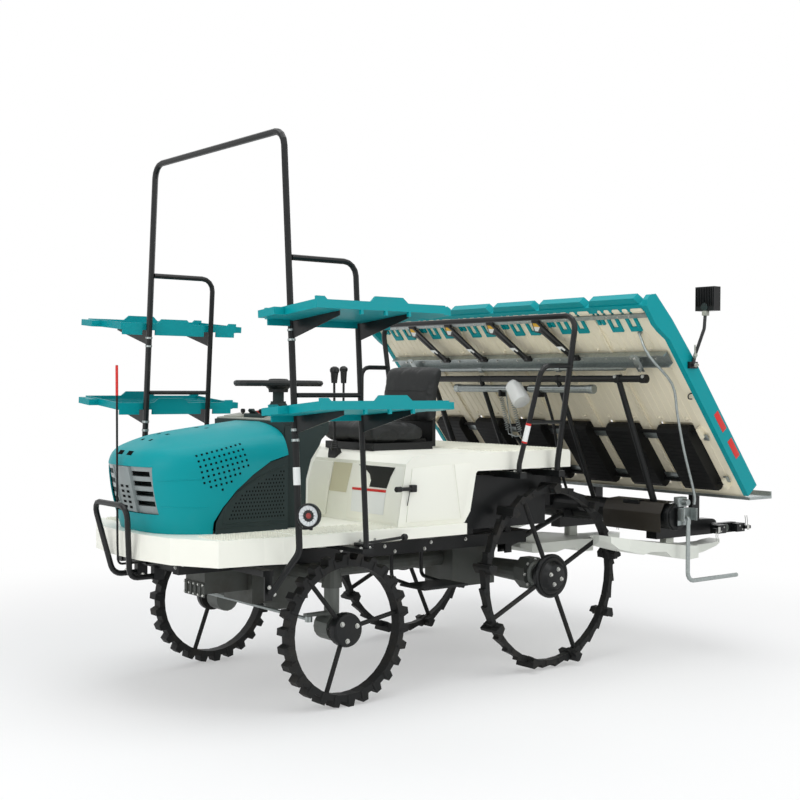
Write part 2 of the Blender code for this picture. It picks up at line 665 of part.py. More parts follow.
def side_float(y):
    """A boat-shaped float, wide in front and narrow between the rotors, with a stepped keel."""
    out = 1 if y > 0 else -1
    outline = [(-0.190, y + out * 0.030), (-0.230, y - out * 0.045), (-1.060, y - out * 0.045),
               (-1.110, y - out * 0.030), (-1.110, y + out * 0.040), (-1.060, y + out * 0.060),
               (-0.880, y + out * 0.070), (-0.800, y + out * 0.150), (-0.280, y + out * 0.150),
               (-0.190, y + out * 0.110)]
    side = [(-0.190, 0.625), (-0.230, 0.592), (-0.380, 0.556), (-0.440, 0.566), (-0.550, 0.558),
            (-0.600, 0.525), (-0.720, 0.505), (-0.940, 0.520), (-1.110, 0.555), (-1.110, 0.575),
            (-1.020, 0.562), (-0.880, 0.562), (-0.700, 0.580), (-0.450, 0.612), (-0.190, 0.655)]
    hull = boolean(plate(outline, "Z", 0.4, 0.7), plate(side, "Y", y - 0.3, y + 0.3), "INTERSECT")
    post = block((-0.760, -0.700), (y - 0.020, y + 0.020), (0.560, ROTOR_Z - CASE_RADIUS - GAP))
    return union([hull, post])


def centre_float():
    outline = [(-0.200, -0.150), (-0.240, -0.200), (-0.700, -0.200), (-0.800, -0.070),
               (-1.060, -0.060), (-1.100, -0.030), (-1.100, 0.030), (-1.060, 0.060),
               (-0.800, 0.070), (-0.700, 0.200), (-0.240, 0.200), (-0.200, 0.150)]
    side = [(-0.200, 0.535), (-0.250, 0.508), (-0.420, 0.500), (-0.480, 0.512), (-0.560, 0.512),
            (-0.620, 0.488), (-0.900, 0.488), (-1.100, 0.520), (-1.100, 0.545), (-0.900, 0.545),
            (-0.600, 0.556), (-0.200, 0.556)]
    hull = boolean(plate(outline, "Z", 0.4, 0.7), plate(side, "Y", -0.3, 0.3), "INTERSECT")
    post = block((-0.760, -0.700), (-0.020, 0.020), (0.540, ROTOR_Z - CASE_RADIUS - GAP))
    return union([hull, post])


for word, y in CASE_YS:
    place(f"float_{word}", side_float(y) if y else centre_float(), CREAM)

for word, side in (("left", 1), ("right", -1)):
    px, pz = STAND_PIVOT
    stand = pipe([(px, side * (STAND_BRACKET_Y + GAP), pz), (px, side * STAND_Y, pz),
                  (px, side * STAND_Y, STAND_FOOT_Z), (STAND_FOOT_X, side * STAND_Y, STAND_FOOT_Z)],
                 STAND_TUBE, 0.045, resolution=3)
    place(f"planter_stand_{word}", stand, ZINC, (px, side * STAND_Y, pz))


# Seedling table

PANEL_TOP = 0.040
BELT_START = 0.735
BELT_END = 1.140
BELT_WIDTH = 0.200


def seedling_table():
    half = TABLE_HALF_WIDTH - 0.030
    pieces = [table_slab(PANEL_TOP + GAP, TABLE_LENGTH, -TABLE_SHEET, 0, -half, half)]
    for wall in range(7):
        y = (wall - 3) * ROW_PITCH
        pieces.append(table_slab(PANEL_TOP + 0.03, TABLE_LENGTH - 0.03, -0.045, -0.005, y - 0.006, y + 0.006))
        if abs(wall - 3) < 3:
            pieces.append(table_slab(PANEL_TOP + 0.03, TABLE_LENGTH - 0.03, -0.005, TABLE_RIB,
                                     y - 0.005, y + 0.005))
    for start in (BELT_START + 0.010, BELT_END - 0.070):
        pieces += both(table_slab(start, start + 0.060, -0.005, 0.034, BELT_SHAFT_Y, BELT_SHAFT_Y + 0.014))
    windows = []
    for lane in range(6):
        y = (lane - 2.5) * ROW_PITCH
        windows.append(table_slab(BELT_START - 0.008, BELT_END + 0.008, -0.1, 0.1,
                                  y - BELT_WIDTH / 2 - 0.006, y + BELT_WIDTH / 2 + 0.006))
    return carve(union(pieces), windows)


place("seedling_table", seedling_table(), CREAM)


def feed_belts():
    radius, centre = 0.039, 0.021
    ring = []
    for mid, phase in ((BELT_END - radius, 0.0), (BELT_START + radius, math.pi)):
        for step in range(7):
            angle = phase - math.pi / 2 + math.pi * step / 6
            ring.append(table_point(mid + radius * math.cos(angle), centre + radius * math.sin(angle)))
    pieces = []
    for lane in range(6):
        y = (lane - 2.5) * ROW_PITCH
        pieces.append(plate(ring, "Y", y - BELT_WIDTH / 2, y + BELT_WIDTH / 2))
    for s in (BELT_START + radius, BELT_END - radius):
        pieces.append(rod(at_y(table_point(s, centre), -BELT_SHAFT_Y + GAP),
                          at_y(table_point(s, centre), BELT_SHAFT_Y - GAP), 0.009, sides=8))
    return union(pieces)


place("feed_belts", feed_belts(), RUBBER)


# The side rail's outline as s and n: a broad rounded head above a straight rail
TRIM_RAIL = ((-0.012, -0.045), (-0.030, -0.015), (-0.026, 0.020), (-0.004, 0.040), (0.100, 0.042),
             (0.150, 0.030), (0.215, 0.006), (TABLE_LENGTH - 0.012, 0.006),
             (TABLE_LENGTH - 0.012, -0.078), (0.440, -0.080), (0.150, -0.066))
# From each lane's start, two short fingers end at one s and two forked ones at another
SHORT_FINGERS = (0.012, 0.040)
SHORT_FINGER_END = 0.115
FORKS = (0.081, 0.198)
FORK_END = 0.160
FORK_WIDTH = 0.069
FINGER_WIDTH = 0.017
FINGER_SHEET = 0.009


def table_trim():
    half = TABLE_HALF_WIDTH
    pieces = both(plate([table_point(s, n) for s, n in TRIM_RAIL], "Y", half - 0.030 + GAP, half))
    pieces.append(table_slab(0.004, PANEL_TOP, -0.020, 0.016, -half + 0.010, half - 0.010))
    for lane in range(6):
        start = (lane - 3) * ROW_PITCH
        middle = start + ROW_PITCH / 2
        pieces.append(plate([(middle - 0.166, 0.012), (middle - 0.141, -0.030), (middle + 0.141, -0.030),
                             (middle + 0.166, 0.012)], "slope", -0.030, 0.010))
        for offset in SHORT_FINGERS:
            y = start + offset
            pieces.append(table_slab(0.030, SHORT_FINGER_END, GAP, FINGER_SHEET, y, y + FINGER_WIDTH))
        for offset in FORKS:
            low, high = start + offset, start + offset + FORK_WIDTH
            pieces.append(plate([
                (low, 0.030), (low, FORK_END), (high, FORK_END), (high, 0.030), (high - FINGER_WIDTH, 0.030),
                (high - FINGER_WIDTH, FORK_END - 0.024), (low + FINGER_WIDTH, FORK_END - 0.024),
                (low + FINGER_WIDTH, 0.030)], "slope", GAP, FINGER_SHEET))
    return union(pieces)


place("table_trim", table_trim(), TEAL)

place("table_top_bar", table_slab(0.052, 0.074, TABLE_RIB + GAP, 0.022, -TABLE_HALF_WIDTH + 0.052,
                                  TABLE_HALF_WIDTH - 0.052), ZINC)

channel = [table_point(s, n) for s, n in (
    (0.280, TABLE_RIB + GAP), (0.350, TABLE_RIB + GAP), (0.350, 0.046), (0.344, 0.046),
    (0.344, 0.016), (0.286, 0.016), (0.286, 0.046), (0.280, 0.046))]
beam_half = TABLE_HALF_WIDTH - 0.047
slide_rod = table_point(0.358, 0.036)
place("table_slide_beam", union([plate(channel, "Y", -beam_half, beam_half),
                                 rod(at_y(slide_rod, -0.755), at_y(slide_rod, 0.755), 0.013)]), ZINC)

for word, side in (("left", 1), ("right", -1)):
    foot_y, lamp_y = side * (TABLE_HALF_WIDTH + 0.010 + GAP), side * (TABLE_HALF_WIDTH + 0.033)
    clamp = block((-0.450, -0.390),
                  sorted((side * (TABLE_HALF_WIDTH + GAP), side * (TABLE_HALF_WIDTH + 0.013))),
                  (1.470, 1.502))
    stalk = pipe([(-0.420, foot_y, 1.485), (-0.430, foot_y, 1.530), (-0.470, lamp_y, 1.660),
                  (-0.480, lamp_y, 1.760)], 0.008, 0.05)
    lamp = block((-0.520, -0.470), (lamp_y - 0.055, lamp_y + 0.055), (1.745, 1.860))
    place(f"rear_lamp_{word}", union([clamp, stalk, lamp]), BLACK)


# Body panels

def apron():
    plan = [(FLOOR_FRONT_X + GAP, 0.600), (1.560, 0.600), (1.640, 0.575), (1.840, 0.550), (1.952, 0.350),
            (1.986, 0.150), (1.990, 0.0)]
    outline = plan + [(x, -y) for x, y in reversed(plan[:-1])]
    inner = [(x - 0.008, y * 0.985) for x, y in outline[1:-1]]
    inner = [(1.480, 0.590), *inner, (1.480, -0.590)]
    body = plate(outline, "Z", 0.640, FLOOR_TOP_Z)
    body = carve(body, [plate(inner, "Z", 0.60, FLOOR_TOP_Z - SHEET)])
    return body


place("front_apron", apron(), CREAM)


def step_floor():
    half = FLOOR_HALF_WIDTH
    body = block((FLOOR_REAR_X, FLOOR_FRONT_X), (-half, half), (FLOOR_SKIRT_Z, FLOOR_TOP_Z))
    inside = block((FLOOR_REAR_X + SHEET, FLOOR_FRONT_X - SHEET), (-half + SHEET, half - SHEET),
                   (0.5, FLOOR_TOP_Z - SHEET))
    body = carve(body, [inside])
    feet = both(block((0.700, 1.400), (RAIL_Y - 0.015, RAIL_Y + 0.015), (0.6903, FLOOR_TOP_Z - 0.004)))
    feet += both(block((0.700, 1.170), (RAIL_Y - 0.015, RAIL_Y + 0.015), (RAIL_TOP_Z + GAP, 0.70)))
    treads = both(block((DECK_FRONT_X + 0.015, FLOOR_FRONT_X - 0.010), (0.385, half - 0.012),
                        (FLOOR_TOP_Z - 0.002, FLOOR_TOP_Z + TREAD_RISE)))
    return union([body, *feet, *treads])


place("step_floor", step_floor(), CREAM)


def rear_deck():
    half = DECK_HALF_WIDTH
    outer = [(DECK_REAR_X, DECK_SKIRT_Z), (DECK_REAR_X, DECK_TOP_Z - 0.012), (DECK_REAR_X + 0.012, DECK_TOP_Z),
             (0.780, DECK_TOP_Z), (0.860, DECK_TOP_Z - 0.010), (0.905, DECK_TOP_Z - 0.040),
             (DECK_FRONT_X, FLOOR_TOP_Z + GAP), (0.560, FLOOR_TOP_Z + GAP), (0.525, 0.800),
             (0.505, 0.900), (0.490, DECK_SKIRT_Z - 0.010), (0.480, DECK_SKIRT_Z)]
    inner = [(DECK_REAR_X + SHEET, 0.90), (DECK_REAR_X + SHEET, DECK_TOP_Z - SHEET),
             (0.780, DECK_TOP_Z - SHEET), (0.855, DECK_TOP_Z - 0.018), (0.897, DECK_TOP_Z - 0.044),
             (DECK_FRONT_X - SHEET, 0.70), (0.540, 0.70), (0.3, 0.8)]
    body = carve(plate(outer, "Y", -half, half), [plate(inner, "Y", -half + SHEET, half - SHEET)])
    feet = []
    for x in CARRIER_XS:
        feet += both(block((x - 0.012, x + 0.012), (0.300, 0.500), (CARRIER_TOP_Z + GAP, DECK_TOP_Z - 0.004)))
    tread = block((DECK_REAR_X + 0.020, 0.345), (-half + 0.025, half - 0.025),
                  (DECK_TOP_Z - 0.002, DECK_TOP_Z + TREAD_RISE))
    return union([body, *feet, tread])


place("rear_deck", rear_deck(), CREAM)


# Bonnet

# Rows of the bonnet from its lower edge up: height at the nose and at the rear, half width, nose x
BONNET_ROWS = (
    (FLOOR_TOP_Z + GAP, FLOOR_TOP_Z + GAP, 0.360, 1.935),
    (0.860, 0.860, 0.362, 1.972),
    (0.960, 0.960, 0.360, 1.994),
    (1.040, 1.050, 0.352, 2.000),
    (1.092, 1.120, 0.330, 1.975),
    (1.120, 1.170, 0.285, 1.925),
    (1.150, 1.200, 0.200, 1.850),
    (1.165, 1.215, 0.100, 1.790),
)
BONNET_REAR_X = 1.375
BONNET_TURNS = 20
BONNET_SHEET = 0.006


def bonnet_ring(row, inset=0.0):
    nose_z, rear_z, half, nose_x = row
    ring = []
    for turn in range(BONNET_TURNS + 1):
        angle = math.pi * (turn / BONNET_TURNS - 0.5)
        x = BONNET_REAR_X + (nose_x - inset - BONNET_REAR_X) * abs(math.cos(angle)) ** 0.72
        y = (half - inset) * math.copysign(abs(math.sin(angle)) ** 0.62, math.sin(angle))
        share = (nose_x - x) / (nose_x - BONNET_REAR_X)
        ring.append(Vector((x, y, nose_z + (rear_z - nose_z) * share)))
    return ring


def loft(rings, closed=False):
    """An open surface through rings of as many points."""
    work = bmesh.new()
    rows = [[work.verts.new(point) for point in ring] for ring in rings]
    for lower, upper in zip(rows, rows[1:]):
        for i in range(len(lower) - (0 if closed else 1)):
            j = (i + 1) % len(lower)
            work.faces.new((lower[i], lower[j], upper[j], upper[i]))
    return work, rows


def bonnet():
    work, rows = loft([bonnet_ring(row) for row in BONNET_ROWS])
    work.faces.new(rows[-1])
    mesh = bpy.data.meshes.new("bonnet")
    work.to_mesh(mesh)
    work.free()
    shell = new_object("bonnet", mesh)
    wall = shell.modifiers.new("wall", "SOLIDIFY")
    wall.thickness = BONNET_SHEET
    wall.offset = -1.0
    wall.use_even_offset = True
    bpy.context.view_layer.update()
    seen = shell.evaluated_get(bpy.context.evaluated_depsgraph_get())
    solid = new_object("bonnet", bpy.data.meshes.new_from_object(seen))
    bpy.data.objects.remove(shell)
    return solid


SIDE_PANEL = ((1.300, FLOOR_TOP_Z - 0.05), (1.740, FLOOR_TOP_Z - 0.05), (1.735, 0.800), (1.700, 0.860),
              (1.640, 0.930), (1.560, 0.995), (1.470, 1.050), (1.300, 1.095))
grille_cut = block((1.700, 2.100), (-0.205, 0.205), (0.832, 1.032))
place("bonnet", carve(bonnet(), [plate(SIDE_PANEL, "Y", -0.5, 0.5), grille_cut]), TEAL)


def grille():
    rows = []
    for z in (0.833, 0.90, 0.97, 1.031):
        share = (z - 0.750) / 0.290
        rows.append((z, z, 0.355, 1.935 + 0.065 * min(1.0, share)))
    outer = [[p for p in bonnet_ring(row, 0.001)] for row in rows]
    work, made = loft(outer)
    mesh = bpy.data.meshes.new("grille")
    work.to_mesh(mesh)
    work.free()
    shell = new_object("grille", mesh)
    wall = shell.modifiers.new("wall", "SOLIDIFY")
    wall.thickness = 0.030
    wall.offset = -1.0
    bpy.context.view_layer.update()
    seen = shell.evaluated_get(bpy.context.evaluated_depsgraph_get())
    solid = new_object("grille", bpy.data.meshes.new_from_object(seen))
    bpy.data.objects.remove(shell)
    keep = block((1.5, 2.2), (-0.2047, 0.2047), (0.8323, 1.0317))
    solid = boolean(solid, keep, "INTERSECT")
    slots = []
    for level in range(4):
        z = 0.865 + 0.042 * level
        slots += both(block((1.7, 2.2), (0.030, 0.185), (z, z + 0.022)))
    return carve(solid, slots)


place("grille", grille(), SILVER)

for word, side in (("left", 1), ("right", -1)):
    outline = ((1.376, FLOOR_TOP_Z + GAP), (1.735, FLOOR_TOP_Z + GAP), (1.730, 0.799), (1.696, 0.857),
               (1.637, 0.926), (1.558, 0.990), (1.468, 1.045), (1.376, 1.070))
    place(f"side_panel_{word}", plate(outline, "Y", *sorted((side * 0.338, side * 0.344))), DARK)

place("engine_block", block((1.420, 1.800), (-0.200, 0.200), (FLOOR_TOP_Z + GAP, 1.060)), CASTING)


def dash():
    outline = [(BONNET_REAR_X - 0.003, FLOOR_TOP_Z + GAP), (BONNET_REAR_X - 0.003, 1.218), (1.240, 1.235),
               (1.130, 1.225), (1.130, 1.170), (1.230, 1.080), (1.285, 0.950), (1.290, FLOOR_TOP_Z + GAP)]
    return plate(outline, "Y", -0.300, 0.300)


place("dash_cover", dash(), DARK)

STEER_X = 1.207
STEER_Z = 1.388
STEER_RADIUS = 0.196
column = union([rod((STEER_X, 0, 1.2265), (STEER_X, 0, 1.290), 0.060, 0.040, 16),
                rod((STEER_X, 0, 1.280), (STEER_X, 0, 1.345), 0.026, sides=14)])
dash_top = 1.2265
place("steering_column", carve(column, [block((1.0, 1.4), (-0.2, 0.2), (1.1, dash_top + 0.0092))]), DARK)


def steering_wheel():
    ring = pipe([(STEER_X + STEER_RADIUS * math.cos(2 * math.pi * i / 28),
                  STEER_RADIUS * math.sin(2 * math.pi * i / 28), STEER_Z) for i in range(28)],
                0.013, closed=True)
    hub = rod((STEER_X, 0, 1.345 + GAP), (STEER_X, 0, STEER_Z + 0.012), 0.045, 0.052, 16)
    spokes = []
    for turn in range(3):
        angle = math.radians(120 * turn + 180)
        spoke = block((0.030, STEER_RADIUS), (-0.017, 0.017), (-0.006, 0.004))
        spin(spoke, angle, "Z")
        spokes.append(shift(spoke, (STEER_X, 0, STEER_Z)))
    return union([ring, hub, *spokes])


place("steering_wheel", steering_wheel(), VINYL, (STEER_X, 0, STEER_Z))

# Seat
SEAT_Z = DECK_TOP_Z + 0.035
place("seat_base", union([block((0.440, 0.800), (-0.200, 0.200), (DECK_TOP_Z + GAP, SEAT_Z)),
                          block((0.380, 0.460), (-0.150, 0.150), (SEAT_Z - 0.025, SEAT_Z)),
                          block((0.380, 0.400), (-0.150, 0.150), (SEAT_Z - 0.025, SEAT_Z + 0.225))]), BLACK)


def cushion(outline, y, bevel):
    pad = plate(outline, "Y", -y, y)
    edge = pad.modifiers.new("edge", "BEVEL")
    edge.width = bevel
    edge.segments = 2
    edge.angle_limit = math.radians(40)
    bpy.context.view_layer.update()
    seen = pad.evaluated_get(bpy.context.evaluated_depsgraph_get())
    soft = new_object("pad", bpy.data.meshes.new_from_object(seen))
    bpy.data.objects.remove(pad)
    return soft


place("seat_cushion", cushion([(x, SEAT_Z + GAP + rise) for x, rise in (
    (0.475, 0.0), (0.475, 0.085), (0.800, 0.110), (0.835, 0.085), (0.835, 0.025), (0.800, 0.0))],
    0.225, 0.022), VINYL)
place("seat_back", cushion([(x, SEAT_Z + GAP + rise) for x, rise in (
    (0.400 + GAP, 0.085), (0.400 + GAP, 0.235), (0.350, 0.375), (0.390, 0.395), (0.425, 0.365),
    (0.460, 0.225), (0.468, 0.085))], 0.215, 0.012), VINYL)

# Levers
lever_boot = plate(((0.8652, 1.0569), (0.9032, 1.0316), (0.9032, 1.0500), (0.8980, 1.0780), (0.8720, 1.0780)),
                   "Y", -0.030, 0.030)
place("shift_lever", union([lever_boot, rod((0.886, 0.0, 1.060), (0.890, 0.0, 1.410), 0.006, sides=8),
                            rod((0.890, 0.0, 1.390), (0.888, 0.0, 1.450), 0.014, 0.020)]), BLACK)
place("side_lever", union([rod((0.620, -0.300, DECK_TOP_Z + GAP), (0.620, -0.300, 1.410), 0.006, sides=8),
                           rod((0.620, -0.300, 1.390), (0.620, -0.300, 1.460), 0.014, 0.018)]), BLACK)


# Front hoop and marker

hoop = [(HOOP_ROOT_X + GAP, 0.078, 0.557), (1.997, 0.078, 0.557), (2.052, 0.162, 0.871)]
path = hoop + [(x, -y, z) for x, y, z in reversed(hoop)]
place("bumper_hoop", pipe(path, 0.0125, 0.045), BLACK)
place("marker_pole", pipe([(HOOP_ROOT_X + GAP, 0, 0.610), (2.012, 0, 0.610), (2.016, 0, 0.700),
                           (2.022, 0, 1.460)], 0.0050, 0.02), BLACK)


# Racks

def arch_y(z):
    """The arch post's distance from the middle at a height."""
    share = (z - ARCH_LOW_Z) / (ARCH_TOP_Z - ARCH_LOW_Z)
    return ARCH_LOW_Y + share * (ARCH_TOP_Y - ARCH_LOW_Y)


def tray_inner_y(z):
    return arch_y(z) + ARCH_TUBE + 0.008


def bracket(x, z):
    """A tapered plate under a tray, from a post outwards, along the tray's tilt."""
    root = arch_y(z) - 0.005
    tip = root + TRAY_WIDTH - 0.02
    low, high = (z - GAP + (y - tray_inner_y(z)) * math.tan(TRAY_TILT) for y in (root, tip))
    return plate(((root, low - 0.075), (root, low), (tip, high), (tip, high - 0.018)),
                 "X", x - 0.0025, x + 0.0025)


def front_arch():
    half = [(ARCH_FOOT), (ARCH_X, ARCH_LOW_Y, ARCH_LOW_Z), (ARCH_X, ARCH_TOP_Y, ARCH_TOP_Z)]
    whole = half + [(x, -y, z) for x, y, z in reversed(half)]
    pieces = [pipe(whole, ARCH_TUBE, 0.070)]
    for word, z in TRAY_LEVELS:
        pieces += both(bracket(ARCH_X, z))
    return union(pieces)


place("front_arch", front_arch(), BLACK)


def rack(side):
    tube_x = ARCH_X - ARCH_TUBE - GAP
    top_y, rung_y = arch_y(RACK_TOP_Z), arch_y(RUNG_Z)
    pieces = [pipe([(tube_x, top_y, RACK_TOP_Z), (RACK_X, top_y, RACK_TOP_Z),
                    (RACK_X, ARCH_LOW_Y - 0.005, 0.730), (RACK_X, ARCH_LOW_Y - 0.005, 0.6903)],
                   RACK_TUBE, 0.060)]
    pieces.append(rod((tube_x, rung_y, RUNG_Z), (RACK_X, rung_y, RUNG_Z), 0.010, sides=10))
    for word, z in TRAY_LEVELS:
        pieces.append(bracket(RACK_X, z))
    if side < 0:
        pieces = [mirrored(piece) for piece in pieces]
    return union(pieces)


def tray(side, z):
    """A moulded tray that tilts outwards; the same moulding, turned half round, fits the other side."""
    inner = tray_inner_y(z)
    outer = inner + TRAY_WIDTH
    low, high = TRAY_FRONT_X - TRAY_LENGTH, TRAY_FRONT_X
    rear, front = low + TRAY_NOSE, high - TRAY_NOSE
    top = z + TRAY_DEPTH
    wall = [(rear, z), (front, z), (front, top + 0.012), (front - 0.040, top + 0.012), (front - 0.052, top)]
    wall += [(x, top + rise) for x, rise in reversed(TRAY_HUMP)] + [(rear, top)]
    pieces = [block((rear, front), (inner, outer), (z, z + TRAY_BED)),
              block((rear, rear + 0.010), (inner, outer), (z, top)),
              block((front - 0.010, front), (inner, outer), (z, top)),
              plate(wall, "Y", inner, inner + 0.010), plate(wall, "Y", outer - 0.010, outer),
              block((front - 0.005, high), (inner + 0.030, inner + 0.150), (z, z + 0.030)),
              block((low, rear + 0.005), (outer - 0.150, outer - 0.030), (z, z + 0.030))]
    for rib in range(3):
        y = inner + TRAY_WIDTH * (rib + 1) / 4
        pieces.append(block((rear + 0.004, front - 0.004), (y - 0.006, y + 0.006), (z + 0.005, z + 0.024)))
    # A lip below the inner wall is cut short at the brackets, and three tabs hang below the outer one
    for start, end in ((rear + 0.010, 1.165), (1.235, 1.505), (1.575, front - 0.010)):
        pieces.append(block((start, end), (inner, inner + 0.008), (z - 0.024, z + 0.004)))
    for x in (1.238, 1.355, 1.475):
        pieces.append(block((x - 0.006, x + 0.006), (outer - 0.014, outer), (z - 0.018, z + 0.004)))
    piece = spin(union(pieces), TRAY_TILT, "X", (0, inner, z))
    return piece if side > 0 else spin(piece, math.pi, "Z", ((low + high) / 2, 0, 0))


for word, side in (("left", 1), ("right", -1)):
    place(f"rack_{word}", rack(side), BLACK)
    for level, z in TRAY_LEVELS:
        place(f"tray_{word}_{level}", tray(side, z), TEAL)
    lamp_y = side * (arch_y(0.840) + ARCH_TUBE + GAP)
    lamp = rod((1.500, lamp_y + side * 0.052, 0.854), (1.565, lamp_y + side * 0.052, 0.854), 0.048, 0.036, 20)
    strap = block((1.535, 1.565), sorted((lamp_y, lamp_y + side * 0.030)), (0.842, 0.866))
    place(f"headlamp_{word}", union([spin(lamp, math.pi, "Z", (1.5325, lamp_y + side * 0.052, 0.854)), strap]),
          BLACK)

# Deck rail
rail_half = [(CARRIER_XS[0], 0.630, CARRIER_TOP_Z + GAP), (CARRIER_XS[0], 0.630, 1.010), (0.020, 0.760, 1.720)]
rail_path = rail_half + [(x, -y, z) for x, y, z in reversed(rail_half)]
rail_pieces = [pipe(rail_path, 0.0140, 0.060)]
loop = pipe([(0.018, 0.716, 1.480), (0.200, 0.716, 1.480), (CARRIER_XS[1], 0.630, 1.010),
             (CARRIER_XS[1], 0.630, CARRIER_TOP_Z + GAP)], 0.0125, 0.060)
rung = rod((0.013, 0.666, 1.210), (0.236, 0.666, 1.210), 0.009, sides=8)
rail_pieces += both(loop) + both(rung)
place("deck_rail", union(rail_pieces), BLACK)

for left_over in list(CUTTERS.objects):
    bpy.data.objects.remove(left_over)
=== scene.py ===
# %% [markdown]
# # A riding rice transplanter
#
# This is a light machine that walks through flooded fields on narrow lugged
# wheels. A driver sits in the middle, racks beside the arch carry spare trays
# of seedlings, and the sloping table behind feeds six rows of planting claws.
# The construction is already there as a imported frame: every node has its real
# size and place. This lesson dresses that frame. Each cell makes one finish or
# one kind of piece, and says why it is made that way.

# %% Tools
import json
import math

import bmesh
import bpy
from mathutils import Matrix, Vector
from mathutils.bvhtree import BVHTree

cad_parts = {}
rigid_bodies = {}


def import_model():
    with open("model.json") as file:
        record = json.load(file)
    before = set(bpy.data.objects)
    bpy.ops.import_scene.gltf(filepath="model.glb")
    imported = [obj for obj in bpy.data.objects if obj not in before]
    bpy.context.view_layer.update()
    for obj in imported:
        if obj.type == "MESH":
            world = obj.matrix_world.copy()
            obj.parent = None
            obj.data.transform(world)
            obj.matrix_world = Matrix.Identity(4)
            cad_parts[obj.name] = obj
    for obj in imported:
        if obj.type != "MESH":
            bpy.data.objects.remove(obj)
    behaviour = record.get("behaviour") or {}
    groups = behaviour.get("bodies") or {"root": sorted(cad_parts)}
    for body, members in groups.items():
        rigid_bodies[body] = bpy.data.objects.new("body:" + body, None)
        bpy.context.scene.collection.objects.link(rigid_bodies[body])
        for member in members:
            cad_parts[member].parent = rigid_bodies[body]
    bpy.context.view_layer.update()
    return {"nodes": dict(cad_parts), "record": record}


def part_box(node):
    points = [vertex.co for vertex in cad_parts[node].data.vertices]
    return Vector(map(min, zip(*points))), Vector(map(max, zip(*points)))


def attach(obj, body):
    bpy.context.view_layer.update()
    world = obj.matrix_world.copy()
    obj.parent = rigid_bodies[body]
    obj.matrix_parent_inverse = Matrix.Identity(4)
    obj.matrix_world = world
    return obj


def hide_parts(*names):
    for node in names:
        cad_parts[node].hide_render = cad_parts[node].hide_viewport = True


for thing in list(bpy.data.objects):
    bpy.data.objects.remove(thing, do_unlink=True)

SIDES = (("left", 1), ("right", -1))


def link(name, data):
    """A new object of some data, put in the scene."""
    thing = bpy.data.objects.new(name, data)
    bpy.context.scene.collection.objects.link(thing)
    return thing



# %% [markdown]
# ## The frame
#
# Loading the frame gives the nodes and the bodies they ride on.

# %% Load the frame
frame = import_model()
nodes = frame["nodes"]

# %% [markdown]
# ## The camera
#
# The photograph was taken from the front left, at the height of the seat, with
# a long lens. The place and the lens were worked out from the wheels, the arch
# and the table, whose sizes are known, and a slight roll of the camera shows in
# the upright posts. The long focal length keeps the far rack nearly as large as
# the near one.

# %% Camera
EYE = Vector((4.0197, 5.0592, 1.3807))
YAW = math.radians(51.92)
PITCH = math.radians(0.65)
ROLL = math.radians(0.35)
FOCAL_LENGTH = 57.87


def camera_turn(yaw, pitch, roll):
    """The camera's axes as a rotation: right, up and back are its columns."""
    ahead = -Vector((math.cos(pitch) * math.cos(yaw), math.cos(pitch) * math.sin(yaw),
                     math.sin(pitch)))
    right = ahead.cross(Vector((0, 0, 1))).normalized()
    upward = right.cross(ahead)
    turned_right = right * math.cos(roll) + upward * math.sin(roll)
    turned_up = upward * math.cos(roll) - right * math.sin(roll)
    return Matrix((turned_right, turned_up, -ahead)).transposed()


lens = bpy.data.cameras.new("camera")
lens.lens = FOCAL_LENGTH
lens.clip_end = 100
camera = link("camera", lens)
camera.matrix_world = Matrix.Translation(EYE) @ camera_turn(YAW, PITCH, ROLL).to_4x4()
bpy.context.scene.camera = camera
print("camera", FOCAL_LENGTH, "mm")

# %% [markdown]
# ## Light and floor
#
# The machine stands in an even, bright room. One large lamp overhead gives the
# soft highlights on the bonnet and the tubes. Two from the camera's side, one
# of them low, open the shadows between the wheels, one lights the near side,
# and one behind draws the edges. The world fills in the rest. Its background is
# white for the camera and for reflections only, so that it adds no light. The
# floor, made at the end, uses the same trick.

# %% Stage
WORLD_LIGHT = 0.5
WORLD_TINT = (0.96, 0.98, 1.0, 1)
LOOK_AT = Vector((0.2, 0.0, 0.9))
LAMPS = (
    # name, place, size, watts
    ("overhead", (0.6, 0.8, 5.2), 5.0, 150),
    ("front", (5.2, 2.2, 3.2), 3.0, 54),
    ("low front", (4.6, 0.6, 0.9), 2.4, 17),
    ("side", (-1.5, 5.8, 3.0), 3.0, 66),
    ("back", (-4.5, -3.0, 3.4), 2.5, 46),
)

for name, place, size, watts in LAMPS:
    light = bpy.data.lights.new(name, "AREA")
    light.size = size
    light.energy = watts
    lamp = link(name, light)
    lamp.location = place
    lamp.rotation_mode = "QUATERNION"
    lamp.rotation_quaternion = (LOOK_AT - lamp.location).to_track_quat("-Z", "Y")


def seen_directly(tree):
    """1 for rays from the camera or a mirror image, 0 for rays that only carry light."""
    path = tree.nodes.new("ShaderNodeLightPath")
    shown = path.outputs["Is Camera Ray"]
    for other in ("Is Glossy Ray", "Is Transmission Ray"):
        either = tree.nodes.new("ShaderNodeMath")
        either.operation = "MAXIMUM"
        tree.links.new(shown, either.inputs[0])
        tree.links.new(path.outputs[other], either.inputs[1])
        shown = either.outputs[0]
    return shown


def blended(tree, share, first, second, out):
    """Puts a blend of two shaders on an output: share says how much of the second."""
    choose = tree.nodes.new("ShaderNodeMixShader")
    for source, socket in zip((share, first, second), choose.inputs):
        tree.links.new(source, socket)
    tree.links.new(choose.outputs[0], out)


